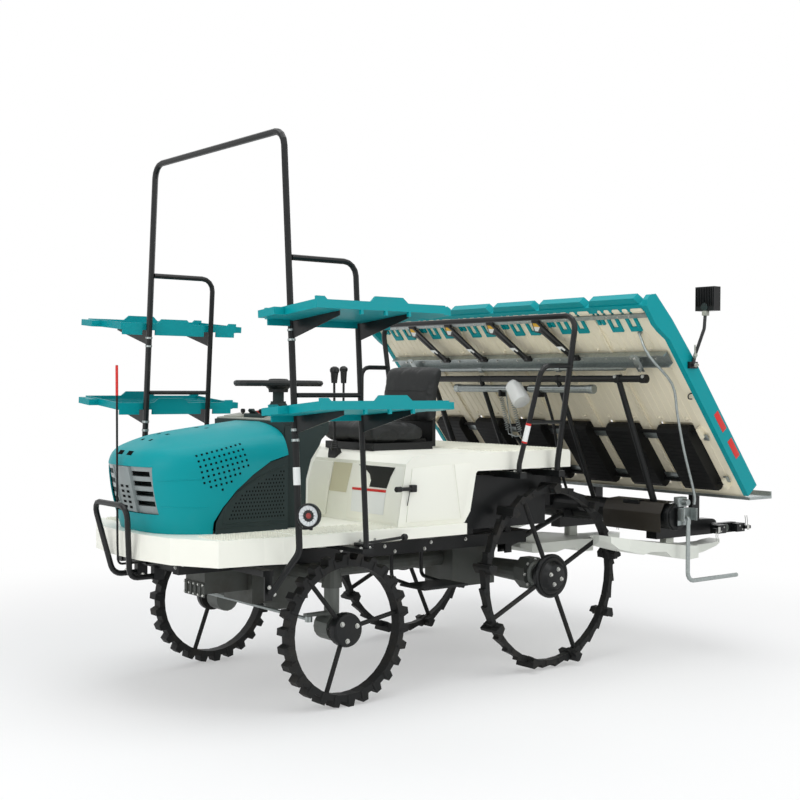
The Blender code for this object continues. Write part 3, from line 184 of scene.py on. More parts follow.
world = bpy.data.worlds.new("room")
bpy.context.scene.world = world
world.use_nodes = True
room = world.node_tree
room.nodes.clear()
fill = room.nodes.new("ShaderNodeBackground")
fill.inputs["Color"].default_value = WORLD_TINT
fill.inputs["Strength"].default_value = WORLD_LIGHT
white = room.nodes.new("ShaderNodeBackground")
white.inputs["Color"].default_value = (1.0, 1.0, 1.0, 1)
world_out = room.nodes.new("ShaderNodeOutputWorld")
blended(room, seen_directly(room), fill.outputs[0], white.outputs[0], world_out.inputs[0])

bpy.context.scene.view_settings.view_transform = "Standard"


# %% [markdown]
# ## Shader maths as Python
#
# Material nodes are easier to read as sums. This small class wraps a socket and
# gives it Python's signs, so that `1 - dust * 0.3` adds the two Math nodes by
# itself. Any other node comes from one method, which takes its kind, the values
# or links of its sockets and its settings.

# %% The shading class
class Shade:
    """A socket of a material's tree, with signs that add Math nodes."""

    def __init__(self, tree, socket=None):
        self.tree = tree
        self.socket = socket

    def node(self, kind, values=(), output=0, stops=(), **settings):
        """Adds a node, sets it, feeds its sockets and returns one output."""
        made = self.tree.nodes.new("ShaderNode" + kind)
        for name, setting in settings.items():
            setattr(made, name, setting)
        if stops:
            for spare in range(len(stops) - 2):
                made.color_ramp.elements.new(0.5)
            for element, (place, colour) in zip(made.color_ramp.elements, stops):
                element.position = place
                element.color = colour
        for name, value in dict(values).items():
            if isinstance(value, Shade):
                self.tree.links.new(value.socket, made.inputs[name])
            else:
                made.inputs[name].default_value = value
        return Shade(self.tree, made.outputs[output])

    def maths(self, operation, first, second=0.0, **settings):
        return self.node("Math", {0: first, 1: second}, operation=operation, **settings)

    def __add__(self, other):
        return self.maths("ADD", self, other)

    __radd__ = __add__

    def __sub__(self, other):
        return self.maths("SUBTRACT", self, other)

    def __rsub__(self, other):
        return self.maths("SUBTRACT", other, self)

    def __mul__(self, other):
        return self.maths("MULTIPLY", self, other)

    __rmul__ = __mul__

    def clamped(self):
        return self.maths("ADD", self, 0.0, use_clamp=True)

    def above(self, low, high):
        """0 below low, 1 above high, and a smooth step in between."""
        return self.node("MapRange", {"Value": self, "From Min": low, "From Max": high},
                         interpolation_type="SMOOTHSTEP")

    def noise(self, scale, detail=3.0, rough=0.5):
        return self.node("TexNoise", {"Vector": self, "Scale": scale, "Detail": detail,
                                      "Roughness": rough})

    def cells(self, scale, feature="F1", output="Distance"):
        return self.node("TexVoronoi", {"Vector": self, "Scale": scale}, output=output,
                         feature=feature)

    def colour_mix(self, amount, first, second):
        return self.node("Mix", {0: amount, 6: first, 7: second}, output=2,
                         data_type="RGBA")


def srgb(red, green, blue):
    """A colour as it looks on screen, 0 to 255, as the linear value that shaders use."""
    return tuple((c / 255 / 12.92) if c <= 10 else ((c / 255 + 0.055) / 1.055) ** 2.4
                 for c in (red, green, blue)) + (1.0,)



def finish(name, colour, roughness=0.5, **fixed):
    """A new material: its shader's sockets are set here, and a recipe then varies them."""
    made = bpy.data.materials.new(name)
    made.use_nodes = True
    shader = made.node_tree.nodes["Principled BSDF"]
    shader.inputs["Base Color"].default_value = colour
    shader.inputs["Roughness"].default_value = roughness
    for socket, value in fixed.items():
        shader.inputs[socket.replace("_", " ")].default_value = value
    coordinates = made.node_tree.nodes.new("ShaderNodeTexCoord")
    return made, shader, Shade(made.node_tree, coordinates.outputs["Object"])


def feed(shader, socket, value):
    shader.id_data.links.new(value.socket, shader.inputs[socket])


def bump(shader, height, depth, strength=1.0):
    """Height, from 0 to 1, as relief of a real depth in metres."""
    relief = height.node("Bump", {"Height": height, "Strength": strength, "Distance": depth})
    feed(shader, "Normal", relief)


# %% [markdown]
# ## Plastics
#
# The bonnet, the trays and the table's trim are moulded in teal plastic with a
# soft gloss. Moulded plastic is never quite flat: long waves vary its gloss,
# and a fine grain roughens and blurs its reflections. The cream panels are the
# same material in another colour, with a little dust rubbed into them.

# %% Moulded plastic
def moulded(name, colour, roughness, grain=0.00004, dust=0.1, coat=0.0, gloss=0.4):
    made, shader, place = finish(name, colour, roughness, Coat_Weight=coat, Coat_Roughness=0.12,
                                 Specular_IOR_Level=gloss)
    patches = place.noise(3.1, 4.0, 0.6)
    fine = place.noise(260.0, 2.0)
    soiled = patches.above(0.52, 0.8) * dust
    tint = place.colour_mix(soiled, colour, srgb(150, 146, 132))
    feed(shader, "Base Color", tint)
    feed(shader, "Roughness", (roughness + patches * 0.1 - 0.05 + fine * 0.04).clamped())
    bump(shader, fine, grain)
    return made


TEAL = moulded("teal_plastic", srgb(0, 147, 154), 0.4, dust=0.03, coat=0.03, gloss=0.16)
CREAM = moulded("cream_plastic", srgb(247, 247, 236), 0.44, dust=0.08, coat=0.04)
FLOAT = moulded("float_plastic", srgb(226, 229, 220), 0.48, dust=0.12)
# Painted shade: a near-black finish for inserts that stand for the dark inside of holes and slots
OPENING_SHADE = moulded("painted_shade_hole", srgb(9, 11, 11), 0.85, dust=0.0, gloss=0.05)
DARK = moulded("dark_grey_plastic", srgb(42, 54, 53), 0.56, grain=0.0001, dust=0.06, gloss=0.2)
SILVER = moulded("silver_grey_plastic", srgb(138, 147, 147), 0.38, dust=0.05, coat=0.2)
GREY = moulded("light_grey_plastic", srgb(158, 160, 150), 0.45)
WHITE = moulded("white_plastic", srgb(236, 238, 236), 0.35, dust=0.05, coat=0.2)
RED = moulded("red_plastic", srgb(206, 40, 34), 0.38, dust=0.03)
LENS = moulded("lens_red", srgb(150, 52, 48), 0.3, dust=0.02)
MIRROR = moulded("reflector_white", srgb(214, 218, 220), 0.22, dust=0.02, coat=0.3)
# Painted shade: darker than the cream panels, for the shade that falls among the studs; the heavy
# patches are dust
SHADED_TREAD = moulded("tread_plastic_painted_shade", srgb(225, 224, 209), 0.55, dust=0.3)
TABLE = moulded("table_plastic", srgb(241, 232, 207), 0.46, dust=0.12)
BEIGE = moulded("beige_plastic", srgb(212, 207, 178), 0.46, dust=0.1)
YELLOW = moulded("yellow_plastic", srgb(226, 176, 40), 0.4, dust=0.03)

# %% [markdown]
# ## Paint, rubber, vinyl and metal
#
# The tubes wear black powder coat: glossy, with a slight orange peel and a
# veil of dust. The wheels are rubber moulded over steel, dull and a bit brown
# where field mud dried. Castings are sprayed silver grey over a sandy skin, and
# zinc shows its flakes as patches of different brightness.

# %% Black paint
def powder_coat(name, colour, roughness, veil):
    made, shader, place = finish(name, colour, roughness, Coat_Weight=0.08,
                                 Coat_Roughness=0.18, Specular_IOR_Level=0.25)
    patches = place.noise(5.0, 5.0, 0.62)
    peel = place.noise(420.0, 1.0)
    dusty = patches.above(0.5, 0.78) * veil
    feed(shader, "Base Color", place.colour_mix(dusty, colour, srgb(112, 106, 96)))
    feed(shader, "Roughness", (roughness + dusty * 0.5 + peel * 0.06).clamped())
    bump(shader, peel, 0.00005)
    return made


BLACK = powder_coat("black_paint", srgb(16, 18, 19), 0.36, 0.05)
OLIVE = powder_coat("olive_paint", srgb(44, 40, 34), 0.42, 0.05)
BRACKET = powder_coat("grey_paint", srgb(84, 89, 84), 0.42, 0.12)


# %% Rubber
def rubber(name, colour, mud):
    made, shader, place = finish(name, colour, 0.62, Specular_IOR_Level=0.25)
    patches = place.noise(9.0, 6.0, 0.65)
    grain = place.noise(350.0, 2.0)
    dried = patches.above(0.46, 0.74) * mud
    feed(shader, "Base Color", place.colour_mix(dried, colour, srgb(96, 88, 76)))
    feed(shader, "Roughness", (0.56 + dried * 0.5 + grain * 0.08).clamped())
    bump(shader, grain, 0.00015)
    return made


RUBBER = rubber("black_rubber", srgb(25, 26, 26), 0.16)
BELT = rubber("belt_rubber", srgb(12, 13, 13), 0.03)


# %% Vinyl
def vinyl(name, colour):
    made, shader, place = finish(name, colour, 0.46, Specular_IOR_Level=0.3)
    pebbles = place.cells(620.0)
    folds = place.noise(14.0, 3.0)
    dull = place.colour_mix(folds.above(0.45, 0.75) * 0.18, colour, srgb(70, 71, 70))
    feed(shader, "Base Color", dull)
    feed(shader, "Roughness", (0.4 + folds * 0.12 + pebbles * 0.1).clamped())
    bump(shader, pebbles, 0.00022)
    return made


VINYL = vinyl("black_vinyl", srgb(26, 28, 28))


# %% Metals
def cast_metal(name, colour, metallic, roughness, oil):
    made, shader, place = finish(name, colour, roughness, Metallic=metallic)
    sand = place.noise(240.0, 3.0, 0.7)
    patches = place.noise(7.0, 5.0, 0.6)
    grimy = patches.above(0.45, 0.72) * oil
    feed(shader, "Base Color", place.colour_mix(grimy, colour, srgb(60, 56, 50)))
    feed(shader, "Roughness", (roughness + sand * 0.14 - 0.07 + grimy * 0.2).clamped())
    bump(shader, sand, 0.0003)
    return made


def zinc_coat(name, colour, roughness):
    made, shader, place = finish(name, colour, roughness, Metallic=0.92)
    flakes = place.cells(95.0, output="Color")
    spangle = place.node("SeparateColor", {"Color": flakes})
    clouds = place.noise(6.0, 4.0)
    feed(shader, "Base Color",
         place.colour_mix(spangle * 0.35 + clouds * 0.25, colour, srgb(132, 138, 140)))
    feed(shader, "Roughness", (roughness + spangle * 0.12 + clouds * 0.1 - 0.1).clamped())
    bump(shader, clouds, 0.0001)
    return made


CASTING = cast_metal("grey_casting", srgb(98, 102, 98), 0.35, 0.46, 0.45)
AXLE = cast_metal("axle_casting", srgb(74, 77, 73), 0.3, 0.5, 0.55)
ENGINE = cast_metal("engine_casting", srgb(30, 31, 31), 0.2, 0.6, 0.5)
ZINC = zinc_coat("galvanised_steel", srgb(168, 175, 173), 0.4)
BOLT = zinc_coat("bolt_steel", srgb(206, 206, 200), 0.28)

# %% Give every node its finish
# The first finish of each slot is the one that the slot's nodes wear
SLOTS = {
    "teal_plastic": (TEAL,),
    "cream_plastic": (CREAM, SHADED_TREAD, TABLE, BEIGE),
    "silver_grey_plastic": (SILVER, GREY, WHITE, MIRROR, BRACKET),
    "dark_grey_plastic": (DARK, RED, LENS, YELLOW),
    "black_paint": (BLACK, OLIVE, OPENING_SHADE),
    "black_rubber": (RUBBER, BELT),
    "black_vinyl": (VINYL,),
    "grey_casting": (CASTING, AXLE, ENGINE),
    "galvanised_steel": (ZINC, BOLT),
}
OWN_FINISH = {
    "engine_block": ENGINE, "front_axle": AXLE, "rear_axle_case": AXLE, "feed_belts": BELT,
    "seedling_table": TABLE, "float_left": FLOAT, "float_centre": FLOAT, "float_right": FLOAT,
    "planting_rotor_left": BLACK, "planting_rotor_centre": BLACK, "planting_rotor_right": BLACK,
}
for subpart in frame["record"]["subparts"]:
    name = subpart["node"]
    nodes[name].data.materials.clear()
    nodes[name].data.materials.append(OWN_FINISH.get(name, SLOTS[subpart["material_slot"]][0]))
print("finishes", len(bpy.data.materials))

# %% [markdown]
# ## Shapes and how they are handed over
#
# Lengths below are measured from the rear axle, as they were in the
# construction, and one shift puts a finished piece in the frame. A shape is a
# bmesh: a bevelled box, a bar, a turned piece, a swept tube or a flat outline.
# `give` joins such shapes into one mesh, gives it a finish and lets it ride on
# the body that carries it.

# %% Shape helpers
REAR_AXLE_X = -0.432
SHARP = math.radians(32)
TO_FRAME = Matrix.Translation((REAR_AXLE_X, 0, 0))


def outward(work):
    """Turns every face of a closed shape outwards."""
    work.normal_update()
    bmesh.ops.recalc_face_normals(work, faces=work.faces)
    return work


def eased(work, bevel, segments=2):
    """Rounds every edge that is sharper than a gentle bend."""
    if bevel:
        edges = [e for e in work.edges if len(e.link_faces) == 2 and e.calc_face_angle() > 0.45]
        bmesh.ops.bevel(work, geom=edges, offset=bevel, segments=segments, profile=0.5,
                        affect="EDGES", clamp_overlap=True)
    return work


def block(xs, ys, zs, bevel=0.0):
    work = bmesh.new()
    bmesh.ops.create_cube(work, size=1.0)
    for vert in work.verts:
        for axis, (low, high) in enumerate((xs, ys, zs)):
            vert.co[axis] = low + (vert.co[axis] + 0.5) * (high - low)
    return eased(work, bevel)


def circle(work, centre, across, other, radius, sides):
    """A ring of new points about a centre, in the plane of two directions."""
    angles = [2 * math.pi * i / sides for i in range(sides)]
    return [work.verts.new(centre + (across * math.cos(a) + other * math.sin(a)) * radius)
            for a in angles]


def skinned(work, rings):
    """Faces between neighbouring rings of points, and a cap on each end."""
    for low, high in zip(rings, rings[1:]):
        for i in range(len(low)):
            j = (i + 1) % len(low)
            work.faces.new((low[i], low[j], high[j], high[i]))
    work.faces.new(reversed(rings[0]))
    work.faces.new(rings[-1])
    return work


def turned(start, end, profile, sides=24):
    """A piece turned on a lathe: profile holds (metres from start towards end, radius)."""
    start, end = Vector(start), Vector(end)
    way = (end - start).normalized()
    across = way.orthogonal().normalized()
    work = bmesh.new()
    return skinned(work, [circle(work, start + way * along, across, way.cross(across),
                                 max(radius, 0.0002), sides) for along, radius in profile])


def upright(x, y, z, profile, sides=24):
    """A turned piece that stands on a place, with its axis up."""
    return turned((x, y, z), (x, y, z + 1), profile, sides)


def bar(start, end, radius, sides=20, ease=0.0):
    """A straight bar with its two rims eased."""
    length = (Vector(end) - Vector(start)).length
    if not ease:
        return turned(start, end, ((0.0, radius), (length, radius)), sides)
    return turned(start, end, ((0.0, radius - ease), (ease, radius), (length - ease, radius),
                               (length, radius - ease)), sides)


def cross_bar(x, y, z, half, radius, sides=20, ease=0.002):
    """A bar along Y about a place."""
    return bar((x, y - half, z), (x, y + half, z), radius, sides, ease)


def spline(a, b, c, d, t):
    """The Catmull-Rom curve from b to c."""
    return 0.5 * (2 * b + (c - a) * t + (2 * a - 5 * b + 4 * c - d) * t ** 2
                  + (3 * b - a - 3 * c + d) * t ** 3)


def smooth_path(points, steps=6):
    points = [Vector(p) for p in points]
    ends = [2 * points[0] - points[1], *points, 2 * points[-1] - points[-2]]
    path = []
    for four in zip(ends, ends[1:], ends[2:], ends[3:]):
        path += [spline(*four, step / steps) for step in range(steps)]
    return path + [points[-1]]


def tube(points, radius, sides=10, smooth=0):
    """A round section swept along a path, with closed ends."""
    path = smooth_path(points, smooth) if smooth else [Vector(p) for p in points]
    work = bmesh.new()
    across = (path[1] - path[0]).orthogonal().normalized()
    rings = []
    for i, centre in enumerate(path):
        before, after = path[max(i - 1, 0)], path[min(i + 1, len(path) - 1)]
        way = (after - before).normalized()
        across = (across - way * across.dot(way)).normalized()
        rings.append(circle(work, centre, across, way.cross(across), radius, sides))
    return skinned(work, rings)


def spring(start, end, radius, wire, turns, sides=6):
    """A coil spring with straight ends on its axis."""
    start, end = Vector(start), Vector(end)
    way = (end - start).normalized()
    across = way.orthogonal().normalized()
    other = way.cross(across)
    length = (end - start).length
    path = [start]
    for i in range(turns * 10 + 1):
        angle = 2 * math.pi * i / 10
        path.append(start + way * (length * (0.1 + 0.8 * i / (turns * 10)))
                    + (across * math.cos(angle) + other * math.sin(angle)) * radius)
    path.append(end)
    return tube(path, wire, sides)


# A flat outline is drawn across its axis: x-z for Y, x-y for Z, y-s for the table's slope
TABLE_TOP = (-0.132, 1.776)
SLOPE = (-0.6213, -0.7835)
SLOPE_OUT = Vector((-SLOPE[1], 0, SLOPE[0]))
PLANES = {
    "Y": Matrix(((1, 0, 0, 0), (0, 0, 1, 0), (0, 1, 0, 0), (0, 0, 0, 1))),
    "Z": Matrix(),
    "slope": Matrix(((0, SLOPE[0], -SLOPE[1], TABLE_TOP[0]), (1, 0, 0, 0),
                     (0, SLOPE[1], SLOPE[0], TABLE_TOP[1]), (0, 0, 0, 1))),
}


def prism(bottom, top):
    """A solid between two outlines with the same number of corners."""
    work = bmesh.new()
    low = [work.verts.new(point) for point in bottom]
    high = [work.verts.new(point) for point in top]
    work.faces.new(low)
    work.faces.new(high)
    for i in range(len(low)):
        j = (i + 1) % len(low)
        work.faces.new((low[i], low[j], high[j], high[i]))
    return work


def plate(outline, axis, low, high, bevel=0.0):
    work = prism([(*point, low) for point in outline], [(*point, high) for point in outline])
    work.transform(PLANES[axis])
    return eased(outward(work), bevel)


def oblong(left, right, low, high):
    """The corners of a rectangle, as an outline."""
    return [(left, low), (left, high), (right, high), (right, low)]


def on_slope(y, s, n):
    """A point on the seedling table: y, s down its slope and n out of its underside."""
    return Vector((TABLE_TOP[0] + s * SLOPE[0] - n * SLOPE[1], y,
                   TABLE_TOP[1] + s * SLOPE[1] + n * SLOPE[0]))


def both(work):
    """A shape and its mirror image on the machine's other side."""
    other = work.copy()
    other.transform(Matrix.Scale(-1, 4, (0, 1, 0)))
    bmesh.ops.reverse_faces(other, faces=other.faces)
    return [work, other]


def mesh_of(name, work):
    """A shape as a mesh. The shape is used up."""
    mesh = bpy.data.meshes.new(name)
    work.to_mesh(mesh)
    work.free()
    return mesh


def baked(thing):
    """A new mesh of what an object's modifiers make of it. The modifiers are used up."""
    bpy.context.view_layer.update()
    seen = thing.evaluated_get(bpy.context.evaluated_depsgraph_get())
    mesh = bpy.data.meshes.new_from_object(seen)
    thing.modifiers.clear()
    return mesh


def joined(name, works):
    """Shapes as one mesh, with outward faces and edges split at sharp angles."""
    whole = bmesh.new()
    for work in works:
        part = mesh_of("part", outward(work))
        whole.from_mesh(part)
        bpy.data.meshes.remove(part)
    mesh = mesh_of(name, whole)
    mesh.shade_smooth()
    mesh.set_sharp_from_angle(angle=SHARP)
    return mesh


def hand_over(name, mesh, finish, body="chassis", replaces=()):
    """A mesh as a piece that rides on a body."""
    mesh.materials.clear()
    mesh.materials.append(finish)
    piece = link(name, mesh)
    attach(piece, body)
    for node in replaces:
        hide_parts(node)
    return piece


def give(name, works, finish, body="chassis", replaces=()):
    mesh = joined(name, works)
    mesh.transform(TO_FRAME)
    return hand_over(name, mesh, finish, body, replaces)



# %% [markdown]
# ## Repeats with Geometry Nodes
#
# Studs, holes, bolts and slats repeat one small shape many times. A point mesh
# says where each copy goes, with two attributes for its turn and its size. The
# node tree puts the shape on every point, makes the copies real and gives them
# their finish. The result is kept as a plain mesh, so the pieces can ride on a
# body like any other.

# %% The repeating tree
repeat_tree = bpy.data.node_groups.new("repeat_on_points", "GeometryNodeTree")
repeat_tree.interface.new_socket("Points", in_out="INPUT", socket_type="NodeSocketGeometry")
SHAPE_SOCKET = repeat_tree.interface.new_socket(
    "Shape", in_out="INPUT", socket_type="NodeSocketObject").identifier
FINISH_SOCKET = repeat_tree.interface.new_socket(
    "Finish", in_out="INPUT", socket_type="NodeSocketMaterial").identifier
repeat_tree.interface.new_socket("Pieces", in_out="OUTPUT", socket_type="NodeSocketGeometry")


def add_node(kind, **settings):
    made = repeat_tree.nodes.new(kind)
    for setting, value in settings.items():
        setattr(made, setting, value)
    return made


way_in = add_node("NodeGroupInput")
way_out = add_node("NodeGroupOutput")
source = add_node("GeometryNodeObjectInfo", transform_space="ORIGINAL")
copies = add_node("GeometryNodeInstanceOnPoints")
real = add_node("GeometryNodeRealizeInstances")
painted = add_node("GeometryNodeSetMaterial")
turn = add_node("GeometryNodeInputNamedAttribute", data_type="FLOAT_VECTOR")
turn.inputs["Name"].default_value = "turn"
size = add_node("GeometryNodeInputNamedAttribute", data_type="FLOAT_VECTOR")
size.inputs["Name"].default_value = "size"
for start, end in (
        (way_in.outputs["Points"], copies.inputs["Points"]),
        (way_in.outputs["Shape"], source.inputs["Object"]),
        (source.outputs["Geometry"], copies.inputs["Instance"]),
        (turn.outputs["Attribute"], copies.inputs["Rotation"]),
        (size.outputs["Attribute"], copies.inputs["Scale"]),
        (copies.outputs["Instances"], real.inputs["Geometry"]),
        (real.outputs["Geometry"], painted.inputs["Geometry"]),
        (way_in.outputs["Finish"], painted.inputs["Material"]),
        (painted.outputs["Geometry"], way_out.inputs["Pieces"])):
    repeat_tree.links.new(start, end)


def facing(out, along=(0, 0, 1)):
    """The turn that points a shape's Z out of a surface and its X along a direction."""
    out = Vector(out).normalized()
    along = Vector(along)
    along = along - out * along.dot(out)
    along = along.normalized() if along.length > 1e-6 else out.orthogonal().normalized()
    return Matrix((along, out.cross(along), out)).transposed().to_euler()


def repeat(name, shape, rows, finish, body="chassis"):
    """One mesh with a copy of shape at each row of (place, turn, size)."""
    original = link("shape", joined("shape", [shape]))
    points = bpy.data.meshes.new("points")
    points.from_pydata([tuple(place) for place, _, _ in rows], [], [])
    for label, column in (("turn", 1), ("size", 2)):
        layer = points.attributes.new(label, "FLOAT_VECTOR", "POINT")
        for value, row in zip(layer.data, rows):
            value.vector = tuple(row[column])
    carrier = link("points", points)
    modifier = carrier.modifiers.new("repeat", "NODES")
    modifier.node_group = repeat_tree
    modifier[SHAPE_SOCKET] = original
    modifier[FINISH_SOCKET] = finish
    mesh = baked(carrier)
    for label in ("turn", "size"):
        if label in mesh.attributes:
            mesh.attributes.remove(mesh.attributes[label])
    mesh.name = name
    for spare in (carrier, original):
        bpy.data.objects.remove(spare)
    mesh.transform(TO_FRAME)
    return hand_over(name, mesh, finish, body)


ONE = (1, 1, 1)


def bolt_shape(width=0.012, height=0.007, washer=0.0):
    """A hexagon head, chamfered, on a washer."""
    head = upright(0, 0, 0, ((0.0, width / 2), (height - 0.0012, width / 2),
                             (height, width / 2 - 0.0014)), 6)
    if not washer:
        return head
    ring = upright(0, 0, 0, ((0.0, washer), (0.0014, washer), (0.002, washer - 0.0006)), 12)
    mesh = joined("bolt", [head, ring])
    work = bmesh.new()
    work.from_mesh(mesh)
    bpy.data.meshes.remove(mesh)
    return work


def surface(mesh):
    """A finished mesh as something that rays can hit, in lengths from the rear axle."""
    return BVHTree.FromPolygons([(v.co.x - REAR_AXLE_X, v.co.y, v.co.z) for v in mesh.vertices],
                                [tuple(p.vertices) for p in mesh.polygons])


def hit(target, start, way, lift=0.0):
    """Where a ray meets a surface, as (place, normal), or nothing."""
    spot, normal, _, _ = target.ray_cast(Vector(start), Vector(way))
    return (spot + normal * lift, normal) if spot else None


def mirror_rows(rows):
    """The same rows on the machine's other side too, for shapes that are symmetric themselves."""
    other = []
    for place, turn, size in rows:
        matrix = turn.to_matrix()
        out, along = matrix.col[2].copy(), matrix.col[0].copy()
        out.y, along.y = -out.y, -along.y
        other.append(((place[0], -place[1], place[2]), facing(out, along), size))
    return rows + other



# %% [markdown]
# ## A smooth bonnet
#
# The construction keeps the bonnet light with few facets. The moulding itself
# is a smooth shell, so it is lofted again here from the same rows with three
# times the points, cut by the same side panel and grille, and stands for the
# coarse one.

# %% Smooth bonnet
BONNET_REAR_X = 1.375
ROWS = ((0.7503, 0.7503, 0.36, 1.935), (0.86, 0.86, 0.362, 1.972), (0.96, 0.96, 0.36, 1.994),
        (1.04, 1.05, 0.352, 2.0), (1.092, 1.12, 0.33, 1.975), (1.12, 1.17, 0.285, 1.925),
        (1.15, 1.2, 0.2, 1.85), (1.165, 1.215, 0.1, 1.79))
FINE_TURNS = 72


def fine_ring(row):
    nose_z, rear_z, half, nose = row
    ring = []
    for step in range(FINE_TURNS + 1):
        # The powers below 1 square the plan off: a flat nose and straight flanks
        angle = math.pi * (step / FINE_TURNS - 0.5)
        x = BONNET_REAR_X + (nose - BONNET_REAR_X) * abs(math.cos(angle)) ** 0.72
        y = half * math.copysign(abs(math.sin(angle)) ** 0.62, math.sin(angle))
        share = (nose - x) / (nose - BONNET_REAR_X)
        ring.append(Vector((x, y, nose_z + (rear_z - nose_z) * share)))
    return ring


def between(rows, steps):
    """The rows with rows of the same curve between them."""
    ends = [rows[0], *rows, rows[-1]]
    made = []
    for four in zip(ends, ends[1:], ends[2:], ends[3:]):
        made += [tuple(spline(*values, step / steps) for values in zip(*four))
                 for step in range(steps)]
    return made + [rows[-1]]


FLANK_CUT = [(1.3, 0.7), (1.74, 0.7), (1.735, 0.8), (1.7, 0.86), (1.64, 0.93),
             (1.56, 0.995), (1.47, 1.05), (1.3, 1.095)]
NOSE_CUT = ((1.7, 2.1), (-0.205, 0.205), (0.832, 1.032))
WALL = 0.005

work = bmesh.new()
rings = [[work.verts.new(p) for p in fine_ring(row)] for row in between(ROWS, 3)]
for low, high in zip(rings, rings[1:]):
    for i in range(FINE_TURNS):
        work.faces.new((low[i], low[i + 1], high[i + 1], high[i]))
top = rings[-1]
half = FINE_TURNS // 2
for i in range(half - 1):
    work.faces.new((top[i], top[i + 1], top[FINE_TURNS - i - 1], top[FINE_TURNS - i]))
work.faces.new((top[half - 1], top[half], top[half + 1]))
mesh = mesh_of("bonnet_shell", outward(work))
mesh.transform(TO_FRAME)
shell = link("bonnet_shell", mesh)
wall = shell.modifiers.new("wall", "SOLIDIFY")
wall.thickness = WALL
wall.offset = -1.0
cutters = []
for cutter_work in (plate(FLANK_CUT, "Y", -0.5, 0.5), block(*NOSE_CUT)):
    cutter_mesh = joined("cutter", [cutter_work])
    cutter_mesh.transform(TO_FRAME)
    cutters.append(link("cutter", cutter_mesh))
    cut = shell.modifiers.new("cut", "BOOLEAN")
    cut.operation = "DIFFERENCE"
    cut.solver = "EXACT"
    cut.object = cutters[-1]
smooth_shell = baked(shell)
for spare in (shell, *cutters):
    bpy.data.objects.remove(spare)
smooth_shell.shade_smooth()
smooth_shell.set_sharp_from_angle(angle=math.radians(40))
hand_over("bonnet_shell", smooth_shell, TEAL, replaces=("bonnet",))

# %% [markdown]
# ## Bonnet
#
# The bonnet breathes through slanting rows of square holes on both sides, three
# pairs of slots on top and two at the nose. Each opening is found by a ray cast
# on the real surface, so it follows the curve. The holes are not cut: they are
# near-black inserts a hair above the skin, painted shade for the dark inside of
# each opening, with the edge of the plastic round them.

# %% Bonnet openings
bonnet_skin = surface(smooth_shell)
HOLE_FIRST, HOLE_ALONG, HOLE_DOWN = (1.801, 1.08), (-0.0224, 0.0051), (-0.0048, -0.0226)
HOLE_COUNTS = ((0, 10), (0, 10), (0, 10), (0, 10), (0, 10), (0, 8), (1, 6), (3, 4))
rows = []
for down, (first, last) in enumerate(HOLE_COUNTS):
    for along in range(first, last):
        x, z = [HOLE_FIRST[i] + along * HOLE_ALONG[i] + down * HOLE_DOWN[i] for i in (0, 1)]
        found = hit(bonnet_skin, (x, 0.6, z), (0, -1, 0))
        if found:
            rows.append((found[0], facing(found[1], (-1, 0, 0.2)), ONE))
repeat("bonnet_holes", block((-0.0046, 0.0046), (-0.0046, 0.0046), (-0.001, 0.0005), 0.0004),
       mirror_rows(rows), OPENING_SHADE)

# Each slot: where its ray starts, where it goes, and the slot's size
rows = []
for start, way, size in (((1.88, 0.038, 1.5), (0, 0, -1), (1.0, 0.8, 1)),
                         ((1.801, 0.04, 1.5), (0, 0, -1), (1.0, 0.8, 1)),
                         ((1.611, 0.045, 1.5), (0, 0, -1), (1.1, 0.8, 1)),
                         ((2.2, 0.042, 1.086), (-1, 0, 0), (2.2, 1.1, 1))):
    spot, normal = hit(bonnet_skin, start, way)
    rows.append((spot, facing(normal, (0, 1, 0)), size))
repeat("bonnet_slots", block((-0.01, 0.01), (-0.01, 0.01), (-0.0015, 0.0006), 0.0005),
       mirror_rows(rows), OPENING_SHADE)

# %% Bonnet creases
CREASE_STEPS, PANEL_END_X = 14, 1.745
works = []
for low, high in ((0.868, 0.862), (0.975, 0.985)):
    path = []
    for step in range(CREASE_STEPS + 1):
        angle = math.radians(4 + 5.6 * step)
        way = Vector((-math.cos(angle), -math.sin(angle), 0))
        centre = Vector((1.7, 0.16, low + (high - low) * step / CREASE_STEPS))
        found = hit(bonnet_skin, centre - way * 0.8, way, lift=0.0002)
        if found and found[0].x > PANEL_END_X:
            path.append(found[0])
    works += both(tube(path, 0.0016, 6))
give("bonnet_creases", works, TEAL)

# %% [markdown]
# ## Grille and side panels
#
# The silver grille has a raised band in the middle with two columns of small
# openings, and a dark screen behind its slots that is painted shade for the
# depth behind them. The small openings are near-black inserts, painted shade
# for their insides. The dark side panels carry a fine field of holes, near-black
# inserts of painted shade as well, inside a raised rim that repeats their
# curved outline.

# %% Grille band
GRILLE_LOW, GRILLE_MIDDLE, GRILLE_TOP = 0.8345, 0.93, 1.0295
GRILLE_RISE, GRILLE_RUN = 0.29, 0.065


def nose_x(z):
    return 1.935 + GRILLE_RUN * min(1.0, (z - 0.75) / GRILLE_RISE)


def nose_band(points, left, right):
    """A strip on the nose: points are (metres in front of the grille, height)."""
    return plate([(nose_x(z) + out, z) for out, z in points], "Y", left, right, 0.0018)


BAND = ((0.0045, GRILLE_LOW), (0.0052, GRILLE_MIDDLE), (0.0045, GRILLE_TOP), (-0.01, GRILLE_TOP),
        (-0.01, GRILLE_LOW))
EDGE = ((0.009, GRILLE_LOW), (0.009, GRILLE_TOP), (0.002, GRILLE_TOP), (0.002, GRILLE_LOW))
works = [nose_band(BAND, -0.074, 0.074), nose_band(EDGE, -0.074, -0.066),
         nose_band(EDGE, 0.066, 0.074)]
give("grille_band", works, SILVER)
nose_turn = facing((GRILLE_RISE, 0, -GRILLE_RUN), (0, 1, 0))
